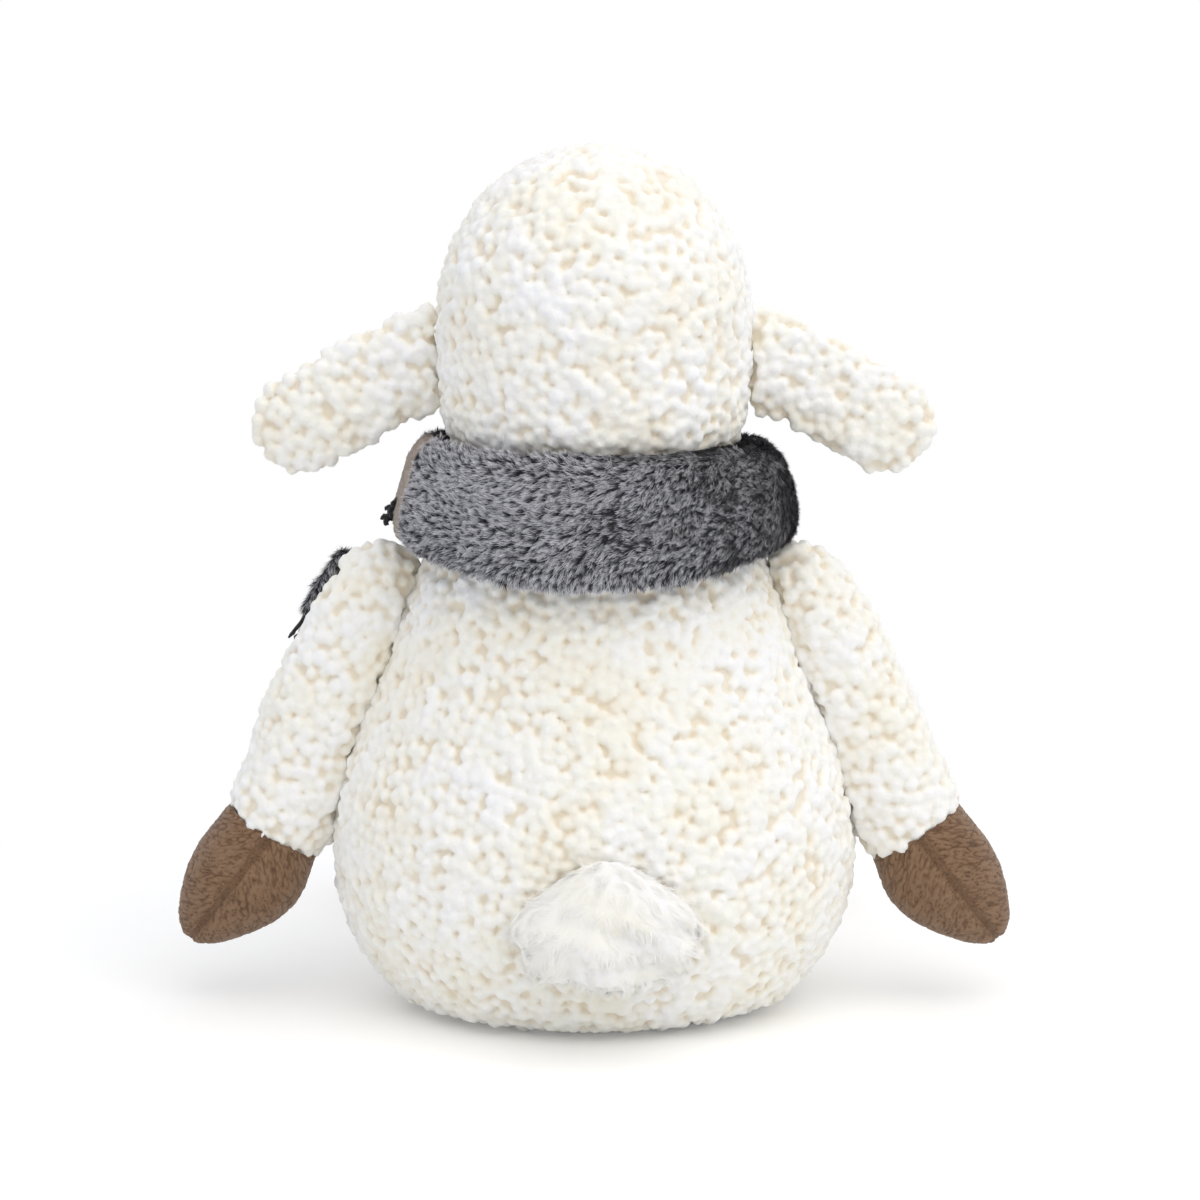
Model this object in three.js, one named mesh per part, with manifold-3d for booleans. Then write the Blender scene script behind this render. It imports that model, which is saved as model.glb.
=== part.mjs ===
// Plush sheep, sitting up: curly fleece covers over stuffing, short-plush hooves and a faux-fur scarf.
// Millimetres, +Z up. The origin is the centre of the flat base that it sits on. Its face looks along -Y,
// so its own left side is +X.

import * as THREE from "three";
import { mergeVertices } from "three/addons/utils/BufferGeometryUtils.js";
import Module from "manifold-3d";

const wasm = await Module();
wasm.setup();

// Cloth and seams
const seamGap = 0.4; // clearance between two pieces that are sewn or laid together
const fleeceWall = 3; // curly fleece, backing and pile
const plushWall = 2; // short plush of the hooves
const flatDepth = 0.5; // how deep a stuffed piece settles where it lies on the floor
const overrun = 1; // how far a cutting tool runs past what it cuts

// Torso: a pear that carries everything else
const torsoHeight = 196;
const torsoWidth = 183;
const torsoDepth = 160;
const neckRadius = 55; // round, so that the head can turn on it
const neckOpeningRadius = 16;
// [height, width, depth], from the flat base to the foot of the neck
const torsoShares = [
  [0, 0, 0],
  [0, 0.34, 0.34],
  [0.004, 0.62, 0.62],
  [0.035, 0.79, 0.8],
  [0.1, 0.89, 0.9],
  [0.17, 0.965, 0.97],
  [0.26, 1, 1],
  [0.34, 0.995, 0.99],
  [0.42, 0.965, 0.95],
  [0.5, 0.905, 0.89],
  [0.58, 0.83, 0.83],
  [0.67, 0.76, 0.77],
  [0.76, 0.69, 0.72],
];
// [height of the torso, radius of the neck]
const neckShares = [
  [0.84, 1],
  [0.9, 0.88],
  [0.95, 0.67],
  [0.985, 0.38],
  [1, 0],
];

// Pellet bag that weighs the base down
const pelletBagWidth = 112;
const pelletBagDepth = 96;
const pelletBagHeight = 34;

// Head: a turned dome on the neck
const headHeight = 119;
const headRadius = 55.5;
const headSeatDepth = 16; // how far the neck reaches up into the head
// [height, radius]
const headShares = [
  [0, 0],
  [0.015, 0.42],
  [0.07, 0.78],
  [0.14, 0.94],
  [0.24, 0.985],
  [0.36, 1],
  [0.48, 1],
  [0.58, 0.985],
  [0.66, 0.95],
  [0.73, 0.885],
  [0.79, 0.8],
  [0.85, 0.705],
  [0.905, 0.59],
  [0.955, 0.42],
  [0.988, 0.21],
  [1, 0],
];

// Face: a short-plush muzzle with safety eyes
const faceWidth = 66;
const faceHeight = 56;
const faceLength = 74; // front to back, half of it hidden in the head
const faceHeightShare = 0.42; // where its middle sits, as a share of the head's height
const faceForwardShare = 0.84; // where its middle sits, as a share of the head's radius
const noseUpShare = 0.12; // of the face's height, from its middle up to the nose
const noseWidth = 17;
const noseHeight = 11;
const noseDepth = 8;
const eyeRadius = 5.5;
const eyeDome = 4;
const eyeStemRadius = 2.4;
const eyeStemLength = 13;
const washerRadius = 6.5;
const washerThickness = 1.6;
const washerRecess = 3.6; // behind the fleece, whose inside slopes there
const eyeAngleDegrees = 34; // to each side of straight ahead
const eyeHeightShare = 0.585; // of the head's height

// Ears
const earLength = 82;
const earWidth = 38;
const earThickness = 13;
const earLiningThickness = 4;
const earDroopDegrees = 30;
const earRootShare = 0.4; // of the head's height
const earInset = 13; // how far the root is tucked into the head before it is trimmed
const earFlapDegrees = 40;

// Arms
const armWidth = 38;
const armDepth = 36;
const shoulderHeightShare = 0.75; // of the torso's height
const armOffset = 7; // from the shoulder's pivot out to the arm's line
const armAngleDegrees = 25; // from hanging straight down
const shoulderTop = 15; // how far the sleeve reaches above the shoulder's pivot
const wristDistance = 93; // from the shoulder to the seam of the hoof
const armHoofLength = 53;
const armHoofBendDegrees = 12; // how far the hoof kicks outwards
const armBackDegrees = 30;
const armForwardDegrees = 70;

// Legs
const legWidth = 50;
const legLength = 122; // from the hip seam to the hoof's tip
const hipOffset = 42; // each side of the middle
const hipHeight = 25;
const hipTuck = 15; // how far the flat seam end is tucked into the torso before it is trimmed
const legSplayDegrees = 9;
const ankleShare = 0.63; // of the leg's line
const legTipDrop = 6; // how much lower the line runs at the hoof than at the hip
const legUpDegrees = 30;
const legDownDegrees = 30;

// Tail
const tailWidth = 58;
const tailHeight = 46;
const tailThickness = 36;
const tailHeightShare = 0.215; // of the torso's height
const tailLiftDegrees = 30;

// Scarf
const scarfHeight = 51;
const scarfSideShare = 0.84; // of that height, over the shoulders
const scarfThickness = 17;
const scarfDrop = 15; // from the top of the neck down to the middle of the turn, over the shoulders
const scarfStandOff = 4.5; // from the neck out to the middle of the turn
const scarfSideRadius = 2.5; // more over the shoulders than at the back
const scarfTiltDegrees = 17;
const scarfDip = 6; // the back and the front hang this much lower than the sides
const scarfFoldDepth = 3;
const scarfFoldDegrees = 145; // where the fold starts, round from the sheep's left
const foldStartShare = 0.5; // how high it starts, of the way from the turn's middle to its top edge
const foldFallShare = 1.4; // how far it falls on its way round
const foldWidthShare = 0.22;
const foldTurnShares = [-0.3, 0.5]; // the part of a turn in which it falls, as sines
const knotWidth = 36;
const knotHeight = 46;
const knotThickness = 26;
const knotDegrees = -50; // round from the sheep's left towards its front
const scarfEndWidth = 38;
const scarfEndThickness = 9;
const frontEndLength = 56;
const frontEndDegrees = -76;
const sideEndLength = 26;
const sideEndStart = -6; // from the shoulder's pivot down the arm to the end's top
const sideEndThickness = 3.5;
const sideEndBack = 1; // its rear edge is this far behind the arm's line
const sideEndInside = 4; // its front edge is this far outside the arm's line
const sideEndAcross = 27; // from its rear edge straight to its front edge
const frontEndLiftDegrees = 45;
const sideFringeTurnDegrees = 50; // how far round the arm its fringe faces, outwards from straight ahead
const fringeLength = 11;
const sideFringeLength = 7; // the side end's is shorter
const fringeThickness = 3;
const fringeBar = 4;
const fringeStrands = 9;
const fringeWidthShare = 0.9; // of the width of the end that it hangs from
const strandShares = [0.22, 0.62, 0.84]; // of a strand's pitch: the two corners of its tip, and its root
const strandTipShares = [0.86, 0.9]; // of the fringe's length: the shorter corners of uneven tips

// Facets
const bodySides = 32;
const bodyRings = 18;
const limbSides = 16;
const limbRings = 16;
const coreSides = 12;
const coreRings = 10;
const turnSteps = 33;
const turnSides = 12;
const sweepStepDegrees = 12.5; // between the copies that clear a joint's path
const earStepDegrees = 20; // the ear's root is thin, so that fewer copies clear it
const turningGap = 0.8; // between facets that turn past each other
const coarseSides = 12; // of a cutting tool that only has to clear its path
const coarseRings = 12;
const coarseGap = 2;

const sewnEndShare = 0.3; // an inner form is never thinner than this share of its outer form

// Colours and finishes
const materials = {
  fleece: cloth(0xf3efe2),
  plush: cloth(0x7d644f),
  fur: cloth(0x66666c),
  fringe: cloth(0x232325),
  stuffing: cloth(0xf8f8f6),
  pellets: cloth(0xd9d4c6),
  nose: cloth(0x3a2c25),
  eye: new THREE.MeshStandardMaterial({ color: 0x0a0a0b, roughness: 0.12, metalness: 0 }),
  washer: new THREE.MeshStandardMaterial({ color: 0xe8e8e4, roughness: 0.5, metalness: 0 }),
};

function cloth(color) {
  return new THREE.MeshStandardMaterial({ color, roughness: 0.95, metalness: 0 });
}

const radians = THREE.MathUtils.degToRad;
const axisX = new THREE.Vector3(1, 0, 0);
const axisY = new THREE.Vector3(0, 1, 0);
const axisZ = new THREE.Vector3(0, 0, 1);

// Turns a three.js geometry into a solid that can be cut and joined.
function solid(geometry) {
  const bare = geometry.clone();
  bare.deleteAttribute("normal");
  bare.deleteAttribute("uv");
  const merged = mergeVertices(bare);
  return new wasm.Manifold(
    new wasm.Mesh({
      numProp: 3,
      vertProperties: new Float32Array(merged.attributes.position.array),
      triVerts: new Uint32Array(merged.index.array),
    }),
  );
}

// Turns a solid back into a geometry, without its unused corners.
function geometryOf(made) {
  const mesh = made.getMesh();
  const geometry = new THREE.BufferGeometry();
  geometry.setAttribute("position", new THREE.BufferAttribute(mesh.vertProperties, mesh.numProp));
  geometry.setIndex(new THREE.BufferAttribute(mesh.triVerts, 1));
  geometry.computeVertexNormals();
  return geometry;
}

// The largest body of a cut form, without its offcuts.
function biggest(made) {
  return made.decompose().reduce((most, part) => (part.volume() > most.volume() ? part : most));
}

function piece(name, made, material, hand = 1) {
  const mesh = new THREE.Mesh(geometryOf(made), material);
  mesh.name = name;
  mesh.scale.x = hand;
  return mesh;
}

// The solid turned by an angle about an axis through a pivot.
function turned(geometry, pivot, axis, degrees) {
  const copy = geometry.clone();
  copy.translate(-pivot.x, -pivot.y, -pivot.z);
  copy.applyMatrix4(new THREE.Matrix4().makeRotationAxis(axis, radians(degrees)));
  copy.translate(pivot.x, pivot.y, pivot.z);
  return solid(copy);
}

// Everything that a geometry passes through as it turns from one angle to another.
function swept(geometry, pivot, axis, from, to, step = sweepStepDegrees) {
  const steps = Math.ceil((to - from) / step);
  let path = turned(geometry, pivot, axis, from);
  for (let i = 1; i <= steps; i++)
    path = path.add(turned(geometry, pivot, axis, from + ((to - from) * i) / steps));
  return path;
}

// A smooth outline through rows of sizes, sampled evenly.
function outline(rows, rings) {
  const curve = new THREE.CatmullRomCurve3(rows.map((row) => new THREE.Vector3(...row)));
  return curve.getPoints(rings);
}

// A closed surface through rings of corners, with a point at each end.
function ringSurface(first, rings, last) {
  const corners = [first, ...rings.flat(), last];
  const sides = rings[0].length;
  const index = [];
  for (let i = 0; i < sides; i++) {
    const next = (i + 1) % sides;
    index.push(0, 1 + next, 1 + i);
    for (let r = 0; r + 1 < rings.length; r++) {
      const low = 1 + r * sides;
      const high = low + sides;
      index.push(low + i, low + next, high + next, low + i, high + next, high + i);
    }
    const end = 1 + (rings.length - 1) * sides;
    index.push(corners.length - 1, end + i, end + next);
  }
  const geometry = new THREE.BufferGeometry().setFromPoints(corners);
  geometry.setIndex(index);
  return geometry;
}

// A stuffed form: elliptical rings threaded on a flat curve. Width is measured along side, which is square
// to the curve's plane, and depth across it. grow makes the form fatter all round, or thinner for a core.
function stuffedForm({ path, side, rows, grow = 0, sides = limbSides, rings = limbRings }) {
  const swell = (size) => Math.max(size + grow, size * sewnEndShare);
  const samples = outline(rows, rings);
  const made = samples.map((row) => {
    const along = THREE.MathUtils.clamp(row.x, 0, 1);
    const middle = path.getPointAt(along);
    const tangent = path.getTangentAt(along);
    middle.addScaledVector(tangent, grow * (2 * along - 1));
    const across = new THREE.Vector3().crossVectors(tangent, side).normalize();
    return Array.from({ length: sides }, (_, i) => {
      const angle = (2 * Math.PI * i) / sides;
      return middle
        .clone()
        .addScaledVector(side, swell(row.y) * Math.cos(angle))
        .addScaledVector(across, swell(row.z) * Math.sin(angle));
    });
  });
  const tip = (along) =>
    path.getPointAt(along).addScaledVector(path.getTangentAt(along), grow * (2 * along - 1));
  return ringSurface(tip(0), made.slice(1, -1), tip(1));
}

// A cushion-shaped form with one middle and three sizes, flatter than a ball.
function pillow({ middle, width, depth, height, grow = 0, sides = limbSides, rings = coreRings }) {
  const ball = new THREE.SphereGeometry(1, sides, rings);
  ball.rotateX(Math.PI / 2);
  ball.scale(width / 2 + grow, depth / 2 + grow, height / 2 + grow);
  ball.translate(middle.x, middle.y, middle.z);
  return ball;
}

function boxBetween(low, high) {
  const size = high.clone().sub(low);
  const box = new THREE.BoxGeometry(size.x, size.y, size.z);
  box.translate((low.x + high.x) / 2, (low.y + high.y) / 2, (low.z + high.z) / 2);
  return box;
}

// What lies below the floor, which every stuffed piece that touches it is flattened against.
const floorReach = torsoWidth + legLength;
const belowFloor = solid(
  boxBetween(
    new THREE.Vector3(-floorReach, -2 * floorReach, -torsoHeight),
    new THREE.Vector3(floorReach, floorReach, 0),
  ),
);

// Torso
const torsoPath = new THREE.LineCurve3(
  new THREE.Vector3(0, 0, -flatDepth),
  new THREE.Vector3(0, 0, torsoHeight),
);
const torsoRows = [
  ...torsoShares.map(([z, w, d]) => [z, (w * torsoWidth) / 2, (d * torsoDepth) / 2]),
  ...neckShares.map(([z, r]) => [z, r * neckRadius, r * neckRadius]),
];

function torsoForm(grow = 0, sides = bodySides, rings = bodyRings) {
  return stuffedForm({ path: torsoPath, side: axisX, rows: torsoRows, grow, sides, rings });
}

function torsoSweep(pivot, axis, from, to) {
  return swept(torsoForm(turningGap), pivot, axis, from, to);
}

// The half width, half depth and middle of the torso at a share of its height.
function torsoAt(share) {
  const fine = outline(torsoRows, bodyRings * bodyRings);
  const above = fine.findIndex((row, i) => i > 0 && row.x >= share);
  const low = fine[above - 1];
  const high = fine[above];
  const part = (share - low.x) / (high.x - low.x);
  const row = low.clone().lerp(high, part);
  return { width: row.y, depth: row.z, middle: torsoPath.getPointAt(share) };
}

// A point on the torso at a height share, round from the sheep's left, with an offset straight out.
function onTorso(share, degrees, out = 0) {
  const { width, depth, middle } = torsoAt(share);
  const angle = radians(degrees);
  return new THREE.Vector3(
    middle.x + (width + out) * Math.cos(angle),
    middle.y + (depth + out) * Math.sin(angle),
    middle.z,
  );
}

const torsoClear = solid(torsoForm(seamGap));

function pelletBag(grow = 0) {
  const bottom = fleeceWall + seamGap;
  return pillow({
    middle: new THREE.Vector3(0, torsoPath.getPointAt(0).y, bottom + pelletBagHeight / 2),
    width: pelletBagWidth,
    depth: pelletBagDepth,
    height: pelletBagHeight,
    grow,
  });
}

// The hollow that the bag lies in, which is open below.
function pelletHollow() {
  const middle = fleeceWall + seamGap + pelletBagHeight / 2;
  const well = new THREE.CylinderGeometry(1, 1, middle + overrun, coreSides);
  well.rotateX(Math.PI / 2);
  well.scale(pelletBagWidth / 2 + seamGap, pelletBagDepth / 2 + seamGap, 1);
  well.translate(0, 0, (middle - overrun) / 2);
  return solid(pelletBag(seamGap)).add(solid(well));
}

function neckOpening(radius, bottom) {
  const tube = new THREE.CylinderGeometry(radius, radius, torsoHeight - bottom + overrun, coreSides);
  tube.rotateX(Math.PI / 2);
  tube.translate(0, 0, (torsoHeight + bottom + overrun) / 2);
  return tube;
}

function makeTorso() {
  const outer = solid(torsoForm()).subtract(belowFloor);
  const hollow = solid(torsoForm(-fleeceWall, coreSides * 2, coreRings + coreRings / 2));
  const openingFloor = torsoHeight - headSeatDepth;
  const cover = outer.subtract(hollow).subtract(solid(neckOpening(neckOpeningRadius, openingFloor)));
  const core = solid(torsoForm(-fleeceWall - seamGap, coreSides * 2, coreRings + coreRings / 2));
  const plug = solid(neckOpening(neckOpeningRadius - seamGap, openingFloor)).intersect(
    solid(torsoForm(-seamGap)),
  );
  const stuffing = core.add(plug).subtract(pelletHollow());
  return [
    piece("torso_cover", cover, materials.fleece),
    piece("torso_stuffing", stuffing, materials.stuffing),
    piece("pellet_bag", solid(pelletBag()), materials.pellets),
  ];
}

// Head
const headBottom = torsoHeight - headSeatDepth;
const headTop = headBottom + headHeight;
const headRows = headShares.map(([z, r]) => [z, r * headRadius, r * headRadius]);

function headForm(grow = 0, sides = bodySides, rings = bodyRings) {
  const path = new THREE.LineCurve3(
    new THREE.Vector3(0, 0, headBottom),
    new THREE.Vector3(0, 0, headTop),
  );
  return stuffedForm({ path, side: axisX, rows: headRows, grow, sides, rings });
}

function headRadiusAt(share) {
  const fine = outline(headRows, bodyRings * bodyRings);
  const above = fine.findIndex((row) => row.x >= share);
  return fine[above].y;
}

const headTurning = solid(headForm(turningGap));
const headClear = solid(headForm(seamGap));
const faceMiddle = new THREE.Vector3(
  0,
  -headRadius * faceForwardShare,
  headBottom + headHeight * faceHeightShare,
);

function faceForm(grow = 0) {
  return pillow({
    middle: faceMiddle,
    width: faceWidth,
    depth: faceLength,
    height: faceHeight,
    grow,
    sides: bodySides,
    rings: limbRings,
  });
}

// Places a part that was made along +Z so that +Z points straight out of the face at one eye.
function atEye(geometry, hand) {
  const angle = radians(eyeAngleDegrees) * hand;
  const out = new THREE.Vector3(Math.sin(angle), -Math.cos(angle), 0);
  geometry.applyQuaternion(new THREE.Quaternion().setFromUnitVectors(axisZ, out));
  const seat = out.clone().multiplyScalar(headRadiusAt(eyeHeightShare));
  geometry.translate(seat.x, seat.y, headBottom + headHeight * eyeHeightShare);
  return geometry;
}

function turnedProfile(points) {
  const lathe = new THREE.LatheGeometry(
    points.map(([r, z]) => new THREE.Vector2(r, z)),
    coreSides,
  );
  lathe.rotateX(Math.PI / 2);
  return lathe;
}

// A domed eye on a stem, and the washer that locks it from behind. Both stand along +Z.
function eyeGeometry() {
  const rim = seamGap + eyeDome * 0.25;
  return turnedProfile([
    [0, -eyeStemLength],
    [eyeStemRadius * 0.7, -eyeStemLength],
    [eyeStemRadius, -eyeStemLength * 0.85],
    [eyeStemRadius, seamGap],
    [eyeRadius, seamGap],
    [eyeRadius, rim],
    [eyeRadius * 0.8, seamGap + eyeDome * 0.7],
    [eyeRadius * 0.42, seamGap + eyeDome * 0.94],
    [0, seamGap + eyeDome],
  ]);
}

function washerGeometry() {
  const front = -fleeceWall - washerRecess;
  const back = front - washerThickness;
  const bore = eyeStemRadius + seamGap;
  return turnedProfile([
    [bore, back],
    [washerRadius, back],
    [washerRadius, front],
    [bore, front],
    [bore, back],
  ]);
}

// The room that the stuffing leaves for the washer.
function washerHollow() {
  const front = -fleeceWall - washerRecess + seamGap;
  const back = front - washerThickness - 2 * seamGap;
  return turnedProfile([
    [0, back],
    [washerRadius + seamGap, back],
    [washerRadius + seamGap, front],
    [0, front],
  ]);
}

function eyeClearance() {
  const bore = eyeStemRadius + seamGap;
  return turnedProfile([
    [0, -eyeStemLength - seamGap],
    [bore, -eyeStemLength - seamGap],
    [bore, 0],
    [eyeRadius + seamGap, 0],
    [eyeRadius + seamGap, faceLength / 2],
    [0, faceLength / 2],
  ]);
}

function makeHead() {
  const hollow = solid(headForm(-fleeceWall, coreSides * 2, coreRings + coreRings / 2));
  let cover = solid(headForm()).subtract(hollow).subtract(torsoClear);
  let stuffing = solid(headForm(-fleeceWall - seamGap, coreSides * 2, coreRings + coreRings / 2));
  stuffing = stuffing.subtract(torsoClear);
  let face = solid(faceForm()).subtract(headClear);
  const eyes = [];
  for (const [sideName, hand] of [
    ["left", 1],
    ["right", -1],
  ]) {
    const clearance = solid(atEye(eyeClearance(), hand));
    const washer = solid(atEye(washerGeometry(), hand));
    cover = cover.subtract(clearance);
    face = face.subtract(clearance);
    stuffing = stuffing.subtract(clearance).subtract(solid(atEye(washerHollow(), hand)));
    eyes.push(piece(`eye_${sideName}`, solid(atEye(eyeGeometry(), hand)), materials.eye));
    eyes.push(piece(`eye_washer_${sideName}`, washer, materials.washer));
  }
  const nose = pillow({
    middle: new THREE.Vector3(
      0,
      faceMiddle.y - faceLength / 2 + noseDepth / 4,
      faceMiddle.z + faceHeight * noseUpShare,
    ),
    width: noseWidth,
    depth: noseDepth,
    height: noseHeight,
  });
  return [
    piece("head_cover", cover, materials.fleece),
    piece("head_stuffing", stuffing, materials.stuffing),
    piece("face_muzzle", face, materials.plush),
    piece("nose", solid(nose).subtract(solid(faceForm(seamGap))), materials.nose),
    ...eyes,
  ];
}

// Ears: flat lobes that hang out sideways, sewn to the head along an upright seam
const earAngle = radians(earDroopDegrees);
const earDirection = new THREE.Vector3(Math.cos(earAngle), 0, -Math.sin(earAngle));
const earHinge = new THREE.Vector3(headRadius, 0, headBottom + headHeight * earRootShare);
// [along, thickness, width]
const earShares = [
  [0, 0, 0],
  [0.01, 0.5, 0.6],
  [0.1, 0.62, 0.88],
  [0.26, 0.9, 0.93],
  [0.5, 1, 0.98],
  [0.72, 0.98, 1],
  [0.88, 0.8, 0.84],
  [0.97, 0.46, 0.5],
  [1, 0, 0],
];

function earForm(grow = 0) {
  const root = earHinge.clone().addScaledVector(earDirection, -earInset);
  const path = new THREE.LineCurve3(
    root,
    root.clone().addScaledVector(earDirection, earLength),
  );
  const rows = earShares.map(([s, t, w]) => [s, (t * earThickness) / 2, (w * earWidth) / 2]);
  return stuffedForm({ path, side: axisY, rows, grow, rings: coreRings + 2 });
}

function makeEars() {
  const headCopy = headForm(turningGap);
  const flap = [-earFlapDegrees, earFlapDegrees, earStepDegrees];
  const headPath = swept(headCopy, earHinge, axisZ, ...flap);
  const whole = solid(earForm()).subtract(headPath);
  const seam = -earThickness / 2 + earLiningThickness;
  const far = headRadius + earLength;
  const front = boxBetween(
    new THREE.Vector3(0, -far, 0),
    new THREE.Vector3(far, seam, headTop),
  );
  const frontClear = boxBetween(
    new THREE.Vector3(0, -far, 0),
    new THREE.Vector3(far, seam + seamGap, headTop),
  );
  const lining = whole.intersect(solid(front));
  const back = whole.subtract(solid(frontClear));
  return [
    ["left", 1],
    ["right", -1],
  ].map(([sideName, hand]) => [
    piece(`ear_${sideName}`, back, materials.fleece, hand),
    piece(`ear_lining_${sideName}`, lining, materials.plush, hand),
  ]);
}

// Arms: a sleeve and a hoof on one line that kicks out at the wrist
const armAngle = radians(armAngleDegrees);
const shoulder = onTorso(shoulderHeightShare, 0, seamGap);

function armPath(hand) {
  const bend = radians(armHoofBendDegrees);
  const down = new THREE.Vector3(Math.sin(armAngle) * hand, 0, -Math.cos(armAngle));
  const kicked = new THREE.Vector3(Math.sin(armAngle + bend) * hand, 0, -Math.cos(armAngle + bend));
  const root = new THREE.Vector3((shoulder.x + armOffset) * hand, shoulder.y, shoulder.z);
  const along = (from, direction, distance) => from.clone().addScaledVector(direction, distance);
  const wrist = along(root, down, wristDistance);
  return new THREE.CatmullRomCurve3([
    along(root, down, -shoulderTop),
    along(root, down, wristDistance / 2),
    wrist,
    along(wrist, kicked, armHoofLength / 2),
    along(wrist, kicked, armHoofLength),
  ]);
}

const wristShare = (shoulderTop + wristDistance) / (shoulderTop + wristDistance + armHoofLength);

// [along, depth, width]
const armShares = [
  [0, 0, 0],
  [0.015, 0.4, 0.38],
  [0.07, 0.72, 0.68],
  [0.17, 0.92, 0.86],
  [0.32, 0.95, 0.92],
  [0.5, 0.94, 0.98],
  [0.64, 0.92, 1],
  [0.7, 0.95, 0.97],
  [0.78, 1, 1],
  [0.86, 0.86, 0.9],
  [0.93, 0.58, 0.65],
  [0.98, 0.32, 0.38],
  [1, 0, 0],
];

function armForm(grow = 0, hand = 1, sides = limbSides, rings = limbRings) {
  const rows = armShares.map(([s, d, w]) => [s, (d * armDepth) / 2, (w * armWidth) / 2]);
  return stuffedForm({ path: armPath(hand), side: axisY, rows, grow, sides, rings });
}

// A flat cut across a limb's line: everything beyond it, as a box that is turned to face along the line.
function beyond(path, share, reach, gap = 0) {
  const tangent = path.getTangentAt(share);
  const box = boxBetween(
    new THREE.Vector3(-reach, -reach, gap),
    new THREE.Vector3(reach, reach, 2 * reach),
  );
  box.applyQuaternion(new THREE.Quaternion().setFromUnitVectors(axisZ, tangent));
  const place = path.getPointAt(share);
  box.translate(place.x, place.y, place.z);
  return solid(box);
}

// Splits a stuffed limb into its cover, its hoof and the stuffing inside both.
function splitLimb({ whole, passed, form, path, seamShare, reach }) {
  const beyondSeam = beyond(path, seamShare, reach);
  const beyondGap = beyond(path, seamShare, reach, seamGap);
  const sleeveHollow = solid(form(-fleeceWall, coreSides, coreRings));
  const hoofHollow = solid(form(-plushWall, coreSides, coreRings));
  const core = solid(form(-fleeceWall - seamGap, coreSides, coreRings));
  return {
    sleeve: whole.subtract(beyondSeam).subtract(sleeveHollow),
    hoof: whole.intersect(beyondGap).subtract(hoofHollow),
    core: core.subtract(passed),
  };
}

const shoulderAxis = new THREE.Vector3(Math.cos(armAngle), 0, Math.sin(armAngle));
const armTorsoPassed = torsoSweep(shoulder, shoulderAxis, -armBackDegrees, armForwardDegrees);

function makeArms() {
  const parts = splitLimb({
    whole: solid(armForm()).subtract(armTorsoPassed),
    passed: armTorsoPassed,
    form: (grow, sides, rings) => armForm(grow, 1, sides, rings),
    path: armPath(1),
    seamShare: wristShare,
    reach: armWidth * 2,
  });
  return [
    ["left", 1],
    ["right", -1],
  ].map(([sideName, hand]) => [
    piece(`arm_sleeve_${sideName}`, parts.sleeve, materials.fleece, hand),
    piece(`arm_hoof_${sideName}`, parts.hoof, materials.plush, hand),
    piece(`arm_stuffing_${sideName}`, parts.core, materials.stuffing, hand),
  ]);
}

// Legs: they lie on the floor and flap up and down on their hip seams
const hipShare = hipHeight / torsoHeight;
const hipDegrees = (() => {
  const { width } = torsoAt(hipShare);
  return -THREE.MathUtils.radToDeg(Math.acos(hipOffset / width));
})();
const hip = onTorso(hipShare, hipDegrees, seamGap);

function legPath() {
  const splay = radians(legSplayDegrees);
  const forward = new THREE.Vector3(Math.sin(splay), -Math.cos(splay), 0);
  const lying = legWidth / 2 - flatDepth;
  const point = (along, height) => {
    const place = hip.clone().addScaledVector(forward, along);
    place.z = height;
    return place;
  };
  return new THREE.CatmullRomCurve3([
    point(-hipTuck, lying),
    point(legLength / 3, lying),
    point(legLength * ankleShare, lying - legTipDrop / 2),
    point(legLength, lying - legTipDrop),
  ]);
}

// [along, width, depth]
const legShares = [
  [0, 0, 0],
  [0.01, 0.5, 0.45],
  [0.05, 0.8, 0.75],
  [0.14, 0.95, 0.92],
  [0.25, 1, 0.98],
  [0.38, 1, 1],
  [0.52, 0.93, 0.94],
  [0.63, 0.84, 0.85],
  [0.73, 0.86, 0.86],
  [0.83, 0.8, 0.8],
  [0.92, 0.6, 0.6],
  [0.975, 0.37, 0.36],
  [1, 0, 0],
];

function legForm(grow = 0, sides = limbSides, rings = limbRings) {
  const path = legPath();
  const side = new THREE.Vector3().crossVectors(axisZ, path.getTangentAt(0.5)).normalize();
  const rows = legShares.map(([s, w, d]) => [s, (w * legWidth) / 2, (d * legWidth) / 2]);
  return stuffedForm({ path, side, rows, grow, sides, rings });
}

function makeLegs() {
  const hipAxis = axisX.clone().negate();
  const torsoPassed = torsoSweep(hip, hipAxis, -legUpDegrees, legDownDegrees);
  const parts = splitLimb({
    whole: solid(legForm()).subtract(torsoPassed).subtract(belowFloor),
    passed: torsoPassed,
    form: legForm,
    path: legPath(),
    seamShare: ankleShare,
    reach: legWidth * 2,
  });
  return [
    ["left", 1],
    ["right", -1],
  ].map(([sideName, hand]) => [
    piece(`leg_cover_${sideName}`, parts.sleeve, materials.fleece, hand),
    piece(`leg_hoof_${sideName}`, parts.hoof, materials.plush, hand),
    piece(`leg_stuffing_${sideName}`, parts.core, materials.stuffing, hand),
  ]);
}

// Tail: a soft puff, sewn on along its top edge
const tailRoot = onTorso(tailHeightShare + tailHeight / 2 / torsoHeight, 90, 0);

function makeTail() {
  const middle = onTorso(tailHeightShare, 90, 0);
  const puff = pillow({
    middle,
    width: tailWidth,
    depth: tailThickness,
    height: tailHeight,
    rings: limbRings - 4,
  });
  const torsoPassed = torsoSweep(tailRoot, axisX, -tailLiftDegrees, 0);
  return [piece("tail", solid(puff).subtract(torsoPassed), materials.fleece)];
}

// Scarf: a thick fur band round the neck, its knot at the front left and two ends with a fringe
const scarfMiddle = torsoHeight - scarfDrop;
const scarfRadius = neckRadius + scarfStandOff;

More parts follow.
